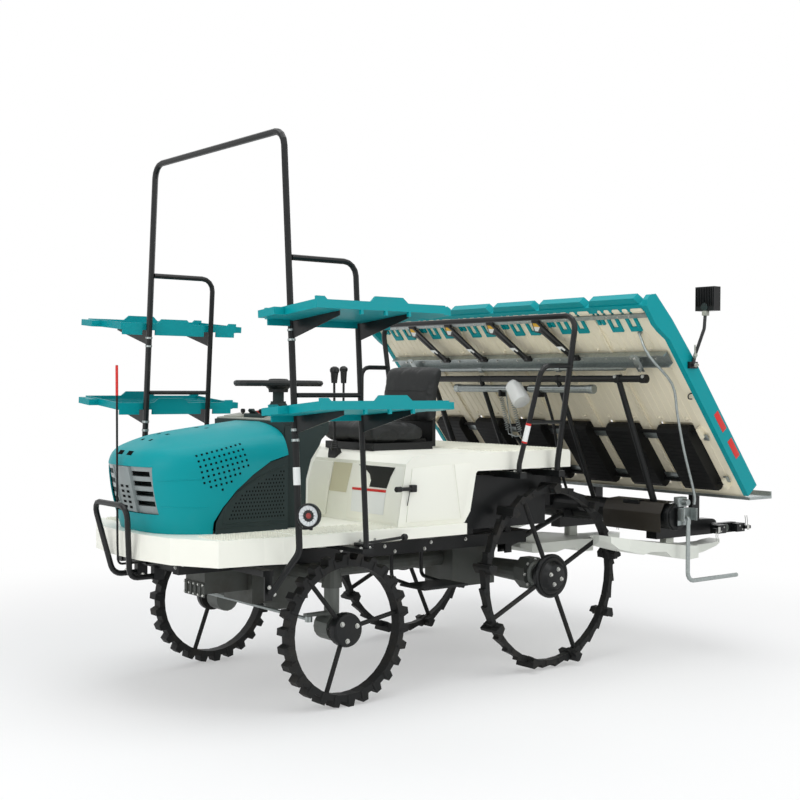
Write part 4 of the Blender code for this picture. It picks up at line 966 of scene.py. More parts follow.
# Painted shade: near-black inserts for the insides of the small openings
rows = [((nose_x(z) + 0.0053, y, z), nose_turn, ONE)
        for y in (-0.024, 0.024) for z in (0.853, 0.8755, 0.898, 0.9205, 0.943)]
repeat("grille_small_slots", block((-0.0125, 0.0125), (-0.0055, 0.0055), (-0.001, 0.0006), 0.0004),
       rows, OPENING_SHADE)
# Painted shade: a dark louvred screen behind the grille stands for the depth behind its slots
rows = [((1.916, 0.0, 0.846 + 0.0085 * step), (0, 0, 0), ONE) for step in range(22)]
repeat("grille_screen", block((-0.0015, 0.0015), (-0.19, 0.19), (-0.003, 0.003), 0.0006),
       rows, DARK)

# %% Side panel field
FIELD = ((1.69, 0.803), (1.664, 0.868), (1.602, 0.926), (1.5, 0.98), (1.392, 1.022), (1.392, 0.803))
PANEL_Y = 0.3441


def inside(point, outline):
    x, z = point
    found = False
    for (x0, z0), (x1, z1) in zip(outline, outline[1:] + outline[:1]):
        if (z0 > z) != (z1 > z) and x < x0 + (z - z0) / (z1 - z0) * (x1 - x0):
            found = not found
    return found


rows = []
for row in range(14):
    for column in range(22):
        x = 1.397 + 0.015 * column + 0.0075 * (row % 2)
        z = 0.812 + 0.016 * row
        if inside((x + 0.006, z + 0.006), FIELD) and inside((x - 0.002, z - 0.004), FIELD):
            rows.append(((x, PANEL_Y, z), facing((0, 1, 0), (1, 0, 0)), ONE))
# Painted shade: near-black inserts for the insides of the panel's holes
repeat("side_panel_holes", block((-0.0028, 0.0028), (-0.0038, 0.0038), (-0.0008, 0.0004), 0.0003),
       mirror_rows(rows), OPENING_SHADE)
rim = [(x + 0.01 * (x > 1.4), 0.344, z + (0.008 if z > 0.85 else -0.006)) for x, z in FIELD[:5]]
works = both(tube(rim, 0.0034, 8, smooth=5))
works += both(tube([(1.388, 0.344, 0.793), (1.702, 0.344, 0.793)], 0.003, 8))
works += both(tube([(1.38, 0.344, 0.776), (1.728, 0.344, 0.776)], 0.0026, 8))
give("side_panel_rims", works, DARK)

# %% Dash top
DASH_TOP = [(1.366, 1.2192), (1.24, 1.2356), (1.136, 1.2258), (1.136, 1.233), (1.24, 1.243),
            (1.366, 1.2265)]
DASH_LID = [(1.352, 1.224), (1.262, 1.236), (1.262, 1.2475), (1.352, 1.235)]
works = [plate(DASH_TOP, "Y", -0.292, 0.292, 0.0028)]
works += both(plate(DASH_LID, "Y", 0.11, 0.25, 0.003))
give("dash_top", works, GREY)
GAUGE = ((0.0, 0.031), (0.006, 0.031), (0.008, 0.028), (0.005, 0.025))
works = [block((1.272, 1.344), (-0.085, 0.085), (1.228, 1.2465), 0.004)]
works += [turned((1.312, y, 1.246), (1.3, y, 1.262), GAUGE, 28) for y in (-0.045, 0.045)]
give("dash_gauges", works, DARK)
DASH_KNOB = ((0.0, 0.008), (0.004, 0.011), (0.015, 0.011), (0.019, 0.007))
RED_KNOB = ((0.0, 0.007), (0.004, 0.01), (0.016, 0.01), (0.02, 0.006))
works = []
for x, y in ((1.299, -0.163), (1.262, -0.138)):
    works.append(bar((x, y, 1.236), (x, y, 1.252), 0.004, sides=10))
    works.append(upright(x, y, 1.248, DASH_KNOB, 16))
give("dash_knobs", works, BLACK)
give("dash_red_knob", [upright(1.225, -0.15, 1.238, RED_KNOB, 16)], RED)

# %% [markdown]
# ## Treads
#
# The places where feet stand are covered with small domed studs in staggered
# rows: both sides of the step floor, the strips beside the bonnet and the deck
# behind the seat. Thin sheets of the same plastic lie under the first and last.
# Studs and sheets are a darker cream than the panels: painted shade for the
# shade that falls among the studs, with patches of dust on it.

# %% Studs
FLOOR_Z, DECK_Z = 0.75, 1.07
STUD = ((0.0, 0.008), (0.003, 0.0072), (0.0056, 0.0044), (0.0066, 0.001))
SIDE_FLOOR = oblong(0.972, 1.484, 0.392, 0.592)
SIDE_STRIP = ((1.508, 0.376), (1.7, 0.372), (1.828, 0.372), (1.832, 0.5), (1.812, 0.54),
              (1.64, 0.562), (1.508, 0.588))


def studs(name, outline, z, pitch=0.0205, two_sides=True):
    """Staggered rows of studs inside an outline, and on the other side too."""
    xs, ys = [p[0] for p in outline], [p[1] for p in outline]
    rows = []
    row, x = 0, min(xs)
    while x < max(xs):
        y = min(ys) + pitch / 2 * (row % 2)
        while y < max(ys):
            if inside((x, y), tuple(outline)):
                rows.append(((x, y, z), (0, 0, 0.4), ONE))
            y += pitch
        x += pitch * 0.866
        row += 1
    if two_sides:
        rows += [((p[0], -p[1], p[2]), turn, size) for p, turn, size in rows]
    repeat(name, upright(0, 0, 0, STUD, 8), rows, SHADED_TREAD)


studs("floor_studs", SIDE_FLOOR, FLOOR_Z + 0.0015)
studs("apron_studs", SIDE_STRIP, FLOOR_Z - 0.0006)
studs("deck_studs", oblong(-0.104, 0.339, -0.548, 0.548), DECK_Z + 0.0015, 0.023, two_sides=False)
SHEET_LOW, SHEET_TOP = 0.0004, 0.0016
DECK_SHEET = oblong(-0.108, 0.343, -0.552, 0.552)
works = both(plate(SIDE_FLOOR, "Z", FLOOR_Z + SHEET_LOW, FLOOR_Z + SHEET_TOP, 0.0005))
works.append(plate(DECK_SHEET, "Z", DECK_Z + SHEET_LOW, DECK_Z + SHEET_TOP, 0.0005))
give("tread_sheets", works, SHADED_TREAD)
print("treads done")

# %% [markdown]
# ## Seat
#
# Cushion and back are foam under vinyl, so they are blown up by the cloth
# solver: a slightly smaller block is remeshed, put under pressure for twenty
# frames and capped, so that it swells but keeps its place. The seams are small
# tubes laid on the finished surface afterwards.

# %% The simulated pads
SEAT_Z = 1.105
VOXEL = 0.0065
CLOTH_FRAMES = 20
CUSHION = ((0.484, 0.008), (0.482, 0.07), (0.56, 0.082), (0.7, 0.094), (0.796, 0.098),
           (0.824, 0.076), (0.824, 0.026), (0.796, 0.008))
BACK = ((0.408, 0.092), (0.408, 0.232), (0.364, 0.362), (0.39, 0.38), (0.418, 0.352),
        (0.45, 0.222), (0.458, 0.092))


def rounded_outline(points, steps=5, reach=0.32):
    """A closed outline above the seat's base, smoothed through its corners."""
    flat = [Vector((x, 0, SEAT_Z + z)) for x, z in points]
    ring = []
    for i, corner in enumerate(flat):
        first = corner.lerp(flat[i - 1], reach)
        last = corner.lerp(flat[(i + 1) % len(flat)], reach)
        for step in range(steps):
            t = step / (steps - 1)
            spot = first.lerp(corner, t).lerp(corner.lerp(last, t), t)
            ring.append((spot.x, spot.z))
    return ring


def pad_shape(points, half, crown, waist):
    """An outline in x and z, lofted across y with drawn-in ends."""
    outline = rounded_outline(points)
    steps = 14
    centre = Vector([sum(p[i] for p in outline) / len(outline) for i in (0, 1)])
    work = bmesh.new()
    rings = []
    for step in range(steps + 1):
        share = -1 + 2 * step / steps
        y = half * math.sin(share * math.pi / 2)
        shrink = 1.0 - crown * abs(share) ** 3 - waist * (1 - abs(share))
        rings.append([work.verts.new((centre.x + (x - centre.x) * shrink, y,
                                      centre.y + (z - centre.y) * shrink)) for x, z in outline])
    return outward(skinned(work, rings))


def blow_up(soft, pressure, cap):
    """Twenty frames of cloth under pressure, then each point goes there by no more than cap."""
    cloth = soft.modifiers.new("cloth", "CLOTH")
    cloth.settings.use_pressure = True
    cloth.settings.uniform_pressure_force = pressure
    cloth.settings.effector_weights.gravity = 0
    cloth.settings.quality = 6
    cloth.point_cache.frame_start, cloth.point_cache.frame_end = 1, CLOTH_FRAMES
    for frame_number in range(1, CLOTH_FRAMES + 1):
        bpy.context.scene.frame_set(frame_number)
    seen = soft.evaluated_get(bpy.context.evaluated_depsgraph_get())
    blown = [v.co.copy() for v in seen.data.vertices]
    soft.modifiers.clear()
    bpy.context.scene.frame_set(1)
    for vert, target in zip(soft.data.vertices, blown):
        step = target - vert.co
        if step.length > cap:
            step = step.normalized() * cap
        vert.co = vert.co + step


def pad(name, work, cap, stands_for, low_z=None, pressure=4.0):
    """A soft piece: remeshed evenly, blown up, kept above low_z and made finer."""
    work.transform(TO_FRAME)
    soft = link(name, mesh_of(name, work))
    remesh = soft.modifiers.new("remesh", "REMESH")
    remesh.mode = "VOXEL"
    remesh.voxel_size = VOXEL
    soft.data = baked(soft)
    blow_up(soft, pressure, cap)
    if low_z is not None:
        for vert in soft.data.vertices:
            vert.co.z = max(vert.co.z, low_z)
    finer = soft.modifiers.new("finer", "SUBSURF")
    finer.levels = finer.render_levels = 1
    final = baked(soft)
    bpy.data.objects.remove(soft)
    final.shade_smooth()
    piece = hand_over(name, final, VINYL, replaces=(stands_for,))
    return final


cushion = pad("seat_cushion_pad", pad_shape(CUSHION, 0.212, 0.1, 0.05), 0.012, "seat_cushion",
              low_z=SEAT_Z + 0.0005)
back = pad("seat_back_pad", pad_shape(BACK, 0.204, 0.16, -0.02), 0.01, "seat_back")


# %% Seams on the pads
def seam(mesh, first, step, way, radius):
    """A thin tube through 25 points that are dropped on a mesh along a direction."""
    target = surface(mesh)
    found = [hit(target, Vector(first) + Vector(step) * i, way, lift=0.0006) for i in range(25)]
    return tube([place[0] for place in found if place], radius, 6)


works = [seam(cushion, (x, -0.15, 1.6), (0, 0.0125, 0), (0, 0, -1), 0.0019) for x in (0.59, 0.7)]
works += [seam(cushion, (0.5, y, 1.6), (0.0125, 0, 0), (0, 0, -1), 0.0021) for y in (-0.155, 0.155)]
works += [seam(back, (0.8, -0.15, SEAT_Z + rise), (0, 0.0125, 0), (-1, 0, 0), 0.0019)
          for rise in (0.16, 0.25)]
give("seat_seams", works, VINYL)
print("seat done")

# %% [markdown]
# ## Wheels
#
# The front wheels show a deep black cup with three bolts, the rear wheels a
# dished disc with four. Ribs stand on both sides of each tyre, and gussets
# behind each paddle. The cases on the axle's ends get a flange with a ring of
# bolts.

# %% Hubs
WHEELBASE, HALF_TRACK, FRONT_R, REAR_R = 1.228, 0.57, 0.329, 0.455
LUGS, PADDLES, REAR_RIBS = 26, 9, 32
FRONT_CUP = ((0.0, 0.0745), (0.022, 0.0745), (0.031, 0.071), (0.0355, 0.064), (0.035, 0.052),
             (0.0365, 0.03), (0.037, 0.0))
REAR_DISC = ((0.0, 0.098), (0.004, 0.106), (0.02, 0.108), (0.028, 0.104), (0.029, 0.097),
             (0.024, 0.09), (0.026, 0.078), (0.034, 0.07), (0.052, 0.058), (0.0535, 0.054),
             (0.0535, 0.0))
GUSSET = [(-0.014, -0.02), (0.024, 0.006), (0.024, 0.012), (-0.014, 0.012)]


def sideways(x, y, z, side, profile, sides):
    """A turned piece with its axis along Y, out of the machine's side."""
    return turned((x, y, z), (x, y + side, z), profile, sides)


def wheel_rows(centre, radius, count, first, side, along=None, radial=False, size=ONE):
    """Rows on a circle about a Y axis. The shapes look sideways, or outwards for radial."""
    rows = []
    for step in range(count):
        angle = first + 2 * math.pi * step / count
        spoke = Vector((math.cos(angle), 0, math.sin(angle)))
        out = Vector((0, side, 0))
        turn = facing(spoke, out) if radial else facing(out, along or spoke)
        rows.append((Vector(centre) + spoke * radius, turn, size))
    return rows


for word, side in SIDES:
    front, rear = f"front_wheel_{word}", f"rear_wheel_{word}"
    y = side * HALF_TRACK
    cup = sideways(WHEELBASE, y - side * 0.004, FRONT_R, side, FRONT_CUP, 40)
    give(f"front_hub_cup_{word}", [cup], BLACK, front)
    repeat(f"front_hub_bolts_{word}", bolt_shape(0.017, 0.0095, 0.0115),
           wheel_rows((WHEELBASE, y + side * 0.0305, FRONT_R), 0.046, 3, math.radians(40), side),
           BOLT, front)
    disc = sideways(0, y - side * 0.006, REAR_R, side, REAR_DISC, 44)
    give(f"rear_hub_disc_{word}", [disc], BLACK, rear)
    repeat(f"rear_hub_bolts_{word}", bolt_shape(0.0165, 0.009, 0.011),
           wheel_rows((0, y + side * 0.0473, REAR_R), 0.038, 4, math.radians(20), side),
           BOLT, rear)

    ribs, gussets, rear_ribs = [], [], []
    for out in (-1, 1):
        ribs += wheel_rows((WHEELBASE, y + out * 0.029, FRONT_R), 0.298, LUGS,
                           0.3 * 2 * math.pi / LUGS + 0.04, out)
        gussets += wheel_rows((0, y + out * 0.03, REAR_R), 0.42, PADDLES, math.radians(10), out,
                              radial=True)
        rear_ribs += wheel_rows((0, y + out * 0.019, REAR_R), 0.4215, REAR_RIBS,
                                0.4 * 2 * math.pi / REAR_RIBS, out)
    repeat(f"front_tyre_ribs_{word}",
           block((-0.017, 0.017), (-0.005, 0.005), (-0.001, 0.0034), 0.0014), ribs, RUBBER, front)
    repeat(f"rear_paddle_gussets_{word}",
           plate(GUSSET, "Y", -0.019, 0.019, 0.0015), gussets, RUBBER, rear)
    repeat(f"rear_tyre_ribs_{word}",
           block((-0.0105, 0.0105), (-0.0045, 0.0045), (-0.001, 0.0022), 0.0009),
           rear_ribs, RUBBER, rear)

# %% Axle flanges
FLANGE = ((0.0, 0.06), (0.006, 0.06), (0.01, 0.054), (0.018, 0.05), (0.02, 0.046), (0.02, 0.0))
works, rows = [], []
for side in (1, -1):
    works.append(sideways(0, side * 0.4702, REAR_R, side, FLANGE, 32))
    works.append(sideways(0, side * 0.385, REAR_R, side, ((0.0, 0.066), (0.01, 0.074)), 28))
    rows += wheel_rows((0, side * 0.47, REAR_R), 0.07, 8, 0.0, side, along=(1, 0, 0))
give("rear_axle_flanges", works, CASTING)
repeat("rear_axle_bolts", bolt_shape(0.013, 0.007, 0.009), rows, BOLT)
for word, side in SIDES:
    rows = wheel_rows((WHEELBASE, side * 0.515, FRONT_R), 0.048, 6, 0.0, side, along=(1, 0, 0),
                      size=(0.8, 0.8, 0.22))
    repeat(f"knuckle_bolts_{word}", bolt_shape(0.012, 0.006), rows, BOLT, f"knuckle_{word}")
print("wheels done")


# %% [markdown]
# ## Seedling table
#
# The table's underside faces the driver. Between the teal fingers a cream comb
# shows, fine lines run down the panel, and small pips stand in a row above the
# slide beam. Six rubber belts with cross slats move the mats down. Black arms,
# each with a yellow tag and two blank sheets, hold the mats at the top.

# %% Comb, lines and pips
ROW = 0.344
LANES = [(lane - 3) * ROW for lane in range(6)]
FINGERS = ((0.012, 0.029), (0.04, 0.057), (0.081, 0.098), (0.133, 0.15), (0.198, 0.215),
           (0.25, 0.267))
COMB_LOW, COMB_HIGH = 0.0405, 0.0515
slope_turn = facing(SLOPE_OUT, (SLOPE[0], 0, SLOPE[1]))


def slope_row(y, s, n, size=ONE):
    """A row for a shape that lies on the table's underside."""
    return on_slope(y, s, n), slope_turn, size


works = []
for start in LANES:
    edges = [0.0] + [edge for finger in FINGERS for edge in finger] + [ROW]
    for low, high in zip(edges[0::2], edges[1::2]):
        if start == LANES[0] and low == 0.0:
            continue
        works.append(plate(oblong(start + low + 0.001, start + high - 0.001, COMB_LOW, COMB_HIGH),
                           "slope", 0.0003, 0.015, 0.0012))
        middle, reach = start + (low + high) / 2, (high - low) / 2 - 0.001
        if reach > 0.008:
            tip = reach - 0.006
            left, right = middle - reach, middle + reach
            works.append(plate([(left, 0.04), (left, 0.03), (middle - tip, 0.0225),
                                (middle + tip, 0.0225), (right, 0.03), (right, 0.04)],
                               "slope", 0.0162, 0.0195, 0.0012))
give("table_comb", works, TABLE, "table")
rows, pips, screws = [], [], []
for start in LANES:
    for step in range(8):
        y = start + 0.0215 + 0.043 * step
        if abs(y) > 1.055:
            continue
        rows.append(slope_row(y, 0.218, 0.0, (1.1, 1, 1)))
        rows.append(slope_row(y, 0.54, 0.0, (3.5, 1, 1)))
        if abs(y - start - ROW / 2) > 0.11:
            rows.append(slope_row(y, 0.938, 0.0, (4.0, 1, 1)))
    pips += [slope_row(start + across, s, 0.0) for across in (0.086, 0.258) for s in (0.268, 0.7)]
    screws += [slope_row(start + across, 0.063, 0.022) for across in (0.1, 0.172, 0.244)]
PIP = ((0.0, 0.0085), (0.003, 0.008), (0.008, 0.005), (0.0095, 0.002))
SCREW = ((0.0, 0.005), (0.0015, 0.0048), (0.0028, 0.003), (0.003, 0.0))
repeat("table_lines", block((-0.05, 0.05), (-0.0014, 0.0014), (-0.0005, 0.0018), 0.0006), rows,
       TABLE, "table")
repeat("table_pips", upright(0, 0, -0.0005, PIP, 12), pips, TABLE, "table")
works = [plate(oblong(start + 0.06, start + 0.284, 0.7, 0.768), "slope", -0.03, -0.0265)
         for start in LANES]
give("belt_upper_sheets", works, TABLE, "table")
repeat("table_bar_screws", upright(0, 0, -0.0003, SCREW, 10), screws, BOLT, "table")

# %% Belt slats, hubs and bridges
BELT_LOW, BELT_HIGH, BELT_R, BELT_N = 0.774, 1.101, 0.039, 0.021
spots = []
for step in range(14):
    s = BELT_LOW + (BELT_HIGH - BELT_LOW) * step / 13
    spots += [(s, BELT_N + BELT_R, 0.0, 1.0), (s, BELT_N - BELT_R, 0.0, -1.0)]
for step in range(1, 6):
    down, up = math.sin(math.pi * step / 6), math.cos(math.pi * step / 6)
    spots.append((BELT_HIGH + BELT_R * down, BELT_N + BELT_R * up, down, up))
    spots.append((BELT_LOW - BELT_R * down, BELT_N + BELT_R * up, -down, up))
rows, hubs = [], []
for start in LANES:
    for s, n, ds, dn in spots:
        out = Vector((ds * SLOPE[0] - dn * SLOPE[1], 0, ds * SLOPE[1] + dn * SLOPE[0]))
        rows.append((on_slope(start + ROW / 2, s, n), facing(out, (0, 1, 0)), ONE))
    for y in (start + ROW / 2 - 0.0995, start + ROW / 2 + 0.0965):
        for s in (BELT_LOW, BELT_HIGH):
            hubs.append(sideways(*on_slope(y, s, BELT_N), 1, ((0.0, 0.02), (0.003, 0.02)), 18))
repeat("belt_slats", block((-0.098, 0.098), (-0.0016, 0.0016), (-0.0012, 0.0012), 0.0005),
       rows, BELT, "table")
give("belt_hubs", hubs, DARK, "table")
works = []
for wall in range(7):
    y = (wall - 3) * ROW
    left, right = (-0.062, 0.062) if 0 < wall < 6 else (-0.03 * (wall == 6), 0.03 * (wall == 0))
    for s in (0.79, 1.06):
        outline = oblong(y + left, y + right, s, s + 0.038)
        works.append(plate(outline, "slope", 0.0103, 0.015, 0.0012))
give("belt_bridges", works, ZINC, "table")

# %% Mat arms
ARM_YS = (-0.7, -0.385, -0.037, 0.311)
# Each strip: its two ends as (across, s, n), its width there and its thickness
STRIPS = (((0.004, 0.066, 0.03), (0.186, 0.276, 0.062), 0.016, 0.004),
          ((0.0, 0.118, 0.03), (0.15, 0.276, 0.062), 0.018, 0.004),
          ((0.004, 0.098, 0.0275), (0.168, 0.276, 0.06), 0.066, 0.003))
# Each plate: its outline as (across, s), its underside, its top and its bevel
ARM_PLATES = (([(-0.034, 0.054), (-0.052, 0.128), (0.01, 0.14), (0.026, 0.06)],
               0.024, 0.028, 0.0012),
              ([(0.08, 0.212), (0.115, 0.262), (0.18, 0.276), (0.16, 0.24)], 0.048, 0.052, 0.001),
              (oblong(0.14, 0.196, 0.262, 0.292), 0.0463, 0.061, 0.0015))
TAG = ([(-0.03, 0.07), (-0.036, 0.092), (0.012, 0.096), (0.016, 0.074)], 0.0281, 0.0287, 0.0)
SHEETS = (([(-0.036, 0.092), (-0.042, 0.12), (0.006, 0.124), (0.012, 0.096)], 0.0281, 0.0287, 0.0),
          ([(0.074, 0.205), (0.094, 0.232), (0.136, 0.232), (0.116, 0.205)], 0.0524, 0.053, 0.0))


def strip(y, first, last, width, thick):
    """A flat strip between two points of the table, narrower at its lower end."""
    start, end = [on_slope(y + across, s, n) for across, s, n in (first, last)]
    side = (end - start).normalized().cross(SLOPE_OUT).normalized()
    ends = [[centre + side * across * half / 2 + SLOPE_OUT * lift * thick / 2
             for across, lift in ((-1, -1), (1, -1), (1, 1), (-1, 1))]
            for centre, half in ((start, width), (end, width * 0.7))]
    return eased(outward(prism(*ends)), 0.001)


def arm_plate(y, outline, low, high, bevel):
    return plate([(y + across, s) for across, s in outline], "slope", low, high, bevel)


works, tags, sheets = [], [], []
for y in ARM_YS:
    works += [strip(y, *row) for row in STRIPS] + [arm_plate(y, *row) for row in ARM_PLATES]
    works.append(bar(on_slope(y - 0.03, 0.06, 0.0228), on_slope(y + 0.022, 0.06, 0.0228), 0.006,
                     sides=12, ease=0.001))
    works.append(bar(on_slope(y + 0.15, 0.272, 0.05), on_slope(y + 0.19, 0.272, 0.066), 0.008,
                     sides=12, ease=0.001))
    tags.append(arm_plate(y, *TAG))
    sheets += [arm_plate(y, *row) for row in SHEETS]
give("mat_arms", works, BLACK, "table")
give("mat_arm_tags", tags, YELLOW, "table")
give("mat_arm_sheets", sheets, WHITE, "table")

# %% Slide rod, clamps and bolts
works = []
for y in (-0.3, 0.3):
    centre = on_slope(y, 0.358, 0.036)
    works.append(cross_bar(*centre, 0.014, 0.0185, 18))
    works.append(plate(oblong(y - 0.013, y + 0.013, 0.344, 0.372), "slope", 0.0103, 0.033, 0.0015))
give("slide_rod_clamps", works, ZINC, "table")
works = both(plate(oblong(0.842, 0.886, 0.27, 0.372), "slope", 0.0463, 0.05, 0.002))
give("slide_beam_plates", works, ZINC, "table")
rows = [slope_row(y, s, 0.05) for y in (-0.864, 0.864) for s in (0.29, 0.35)]
rows += [slope_row(-0.96 + 0.16 * step, 0.315, 0.016) for step in range(13)]
repeat("slide_beam_bolts", bolt_shape(0.012, 0.006, 0.008), rows, BOLT, "table")

# %% Hooks on the side rails
HOOK = ((0.0, 0.0, 0.0), (0.012, -0.004, 0.012), (0.022, -0.02, 0.004), (0.014, -0.026, -0.014),
        (0.004, -0.012, -0.016))
works = []
for side in (1, -1):
    foot = on_slope(side * 1.062, 0.56, -0.004)
    works.append(tube([foot + Vector((x, side * y, z)) for x, y, z in HOOK], 0.0032, 8, smooth=5))
give("table_hooks", works, BLACK, "table")
print("table done")

# %% [markdown]
# ## Lamps
#
# The work lamps at the front are turned half outwards: a ribbed black bowl, a
# faceted white reflector and a red lens in the middle. The rear lamps are black
# boxes with fins, on a grey bracket with a wing nut.

# %% Front lamps
LAMP_X, LAMP_Z, LAMP_HALF = 1.5325, 0.854, 0.034
BOWL = ((0.0, 0.022), (0.006, 0.03), (0.016, 0.036), (0.018, 0.039), (0.021, 0.036), (0.028, 0.039),
        (0.03, 0.043), (0.033, 0.04), (0.042, 0.044), (0.044, 0.05), (0.062, 0.051), (0.066, 0.048),
        (0.066, 0.044), (0.058, 0.043))
REFLECTOR = ((0.0, 0.0425), (0.004, 0.0425), (0.001, 0.03), (-0.006, 0.016), (-0.006, 0.0))
LAMP_LENS = ((0.0, 0.012), (0.008, 0.012), (0.011, 0.009), (0.012, 0.0))
FACETS = 14
for word, side in SIDES:
    low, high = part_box(f"headlamp_{word}")
    centre = Vector((LAMP_X, side * (max(abs(low.y), abs(high.y)) - 0.048), LAMP_Z))
    way = Vector((0.86, side * 0.51, 0.0)).normalized()
    back_end, front_end = centre - way * LAMP_HALF, centre + way * LAMP_HALF
    post_y = side * (abs(centre.y) - 0.052)
    works = [turned(back_end, front_end, BOWL, 32),
             tube([(1.553, post_y - side * 0.004, 0.815), (1.556, post_y + side * 0.02, 0.8),
                   (centre.x - 0.004, centre.y - side * 0.01, 0.801), (centre.x, centre.y, 0.806)],
                  0.0055, 8, smooth=4),
             cross_bar(1.55, post_y - side * 0.006, 0.815, 0.01, 0.012, 14),
             bar(centre - Vector((0, 0, 0.06)), centre - Vector((0, 0, 0.034)), 0.0075, sides=10,
                 ease=0.001)]
    give(f"headlamp_bowl_{word}", works, BLACK, replaces=(f"headlamp_{word}",))
    reflector = turned(back_end + way * 0.0575, front_end, REFLECTOR, 14)
    give(f"headlamp_reflector_{word}", [reflector], MIRROR)
    across = way.orthogonal().normalized()
    other = way.cross(across)
    rows = []
    for step in range(FACETS):
        angle = 2 * math.pi * step / FACETS
        spoke = across * math.cos(angle) + other * math.sin(angle)
        spot = back_end + way * 0.0605 + spoke * 0.032
        rows.append((spot, facing(way - spoke * 0.25, spoke), ONE))
    repeat(f"headlamp_facets_{word}",
           block((-0.0085, 0.0085), (-0.005, 0.005), (-0.0012, 0.0012), 0.0009), rows, MIRROR)
    give(f"headlamp_lens_{word}", [turned(back_end + way * 0.05, front_end, LAMP_LENS, 18)], LENS)

# %% Rear lamps
REAR_LAMP_Y, REAR_LAMP_LOW, REAR_LAMP_TOP = 1.125, 1.745, 1.86
CAP = ((0.0, 0.02), (0.004, 0.02), (0.006, 0.016), (0.006, 0.0))
WING_NUT = ((0.0, 0.011), (0.004, 0.011), (0.006, 0.008), (0.014, 0.007))
for word, side in SIDES:
    y, z = side * REAR_LAMP_Y, (REAR_LAMP_LOW + REAR_LAMP_TOP) / 2 + 0.008
    y0, y1, z0, z1 = y - 0.055, y + 0.055, REAR_LAMP_LOW, REAR_LAMP_TOP
    fin_turn = facing((1, 0, 0), (0, 0, 1))
    rows = [((-0.47, y0 + 0.006 + 0.0098 * step, z), fin_turn, ONE) for step in range(11)]
    repeat(f"rear_lamp_fins_{word}",
           block((-0.044, 0.044), (-0.0014, 0.0014), (-0.001, 0.005), 0.0006), rows, BLACK, "table")
    works = [turned((-0.4715, y, z0 + 0.018), (1, y, z0 + 0.018), CAP, 20),
             block((-0.524, -0.519), (y0 + 0.004, y1 - 0.004), (z0 + 0.004, z1 - 0.004), 0.002)]
    give(f"rear_lamp_cap_{word}", works, DARK, "table")
    works = [block((-0.5265, -0.5235), (y0 + 0.01, y1 - 0.01), (z0 + 0.012, z1 - 0.012), 0.0014)]
    give(f"rear_lamp_lens_{word}", works, RED, "table")
    works = [block((-0.492, -0.466), (y - 0.013, y + 0.013), (1.722, 1.7448), 0.002),
             tube([(-0.42, side * 1.112, 1.52), (-0.408, side * 1.122, 1.545),
                   (-0.392, side * 1.134, 1.58)], 0.004, 8),
             bar((-0.428, side * 1.104, 1.524), (-0.404, side * 1.13, 1.534), 0.0085, sides=12,
                 ease=0.001),
             sideways(-0.42, side * 1.1165, 1.486, side, WING_NUT, 12)]
    give(f"rear_lamp_bracket_{word}", works, GREY, "table")
works = []
EDGE_Y = 1.0923
for s in (0.7, 0.87):
    quad = [on_slope(EDGE_Y, s + along, n)
            for along, n in ((0.0, -0.066), (0.11, -0.066), (0.11, -0.03), (0.0, -0.03))]
    works += both(plate([(p.x, p.z) for p in quad], "Y", EDGE_Y, EDGE_Y + 0.0012, 0.0004))
give("rear_reflectors", works, RED, "table")


# %% [markdown]
# ## Driver's place
#
# The steering wheel sits on a bowl-shaped hub. Dark panels close the dash's
# sides, and a cream cowl closes it towards the feet. The deck's front carries
# flat panels, a beige pocket, a black sheet of painted shade where a recess is
# dark, and a blank sheet. Each wing has a panel with a slanted edge and a black
# latch.

# %% Steering hub
STEER_X, STEER_Z, GRIP_RADIUS, GRIPS = 1.207, 1.388, 0.1965, 56
BOWL_HUB = ((0.0, 0.034), (0.004, 0.04), (0.018, 0.056), (0.03, 0.064), (0.036, 0.064),
            (0.04, 0.058))
HUB_LID = ((0.0, 0.046), (0.006, 0.046), (0.01, 0.04), (0.011, 0.02), (0.011, 0.0))


def folds(count, pitch, radius, shrink, wave):
    """A bellows profile: every second ring stands out."""
    return [(pitch * i, radius - shrink * i + wave * (i % 2)) for i in range(count)]


works = [upright(STEER_X, 0, 1.3505, BOWL_HUB, 32), upright(STEER_X, 0, 1.398, HUB_LID, 28)]
for degrees in (180, 300, 60):
    spoke = block((0.052, 0.188), (-0.0125, 0.0125), (-0.004, 0.0068), 0.0035)
    spoke.transform(Matrix.Translation((STEER_X, 0, STEER_Z))
                    @ Matrix.Rotation(math.radians(degrees), 4, "Z"))
    works.append(spoke)
give("steering_hub", works, BLACK, "steering_wheel")
works = [upright(STEER_X, 0, 1.2358, folds(10, 0.0075, 0.058, 0.0028, 0.003), 28)]
give("column_boot", works, DARK)
rows = []
for step in range(GRIPS):
    angle = 2 * math.pi * step / GRIPS
    spoke = Vector((math.cos(angle), math.sin(angle), 0))
    rows.append((Vector((STEER_X, 0, STEER_Z - 0.0132)) + spoke * GRIP_RADIUS,
                 facing((0, 0, -1), spoke), ONE))
repeat("steering_grips", block((-0.005, 0.005), (-0.008, 0.008), (-0.0012, 0.0014), 0.0009), rows,
       VINYL, "steering_wheel")

# %% Cowl panels
DASH_SIDE = [(1.366, 0.7512), (1.366, 1.196), (1.25, 1.212), (1.15, 1.19), (1.181, 1.113),
             (1.228, 1.049), (1.254, 0.962), (1.255, 0.859), (1.255, 0.7512)]
COWL = [(1.262, 0.7512), (1.261, 0.955), (1.232, 1.048), (1.184, 1.12), (1.16, 1.104),
        (1.206, 1.036), (1.232, 0.95), (1.232, 0.7512)]
give("dash_sides", both(plate(DASH_SIDE, "Y", 0.3003, 0.306, 0.002)), DARK)
give("dash_cowl", [plate(COWL, "Y", -0.29, 0.29, 0.004)], CREAM)

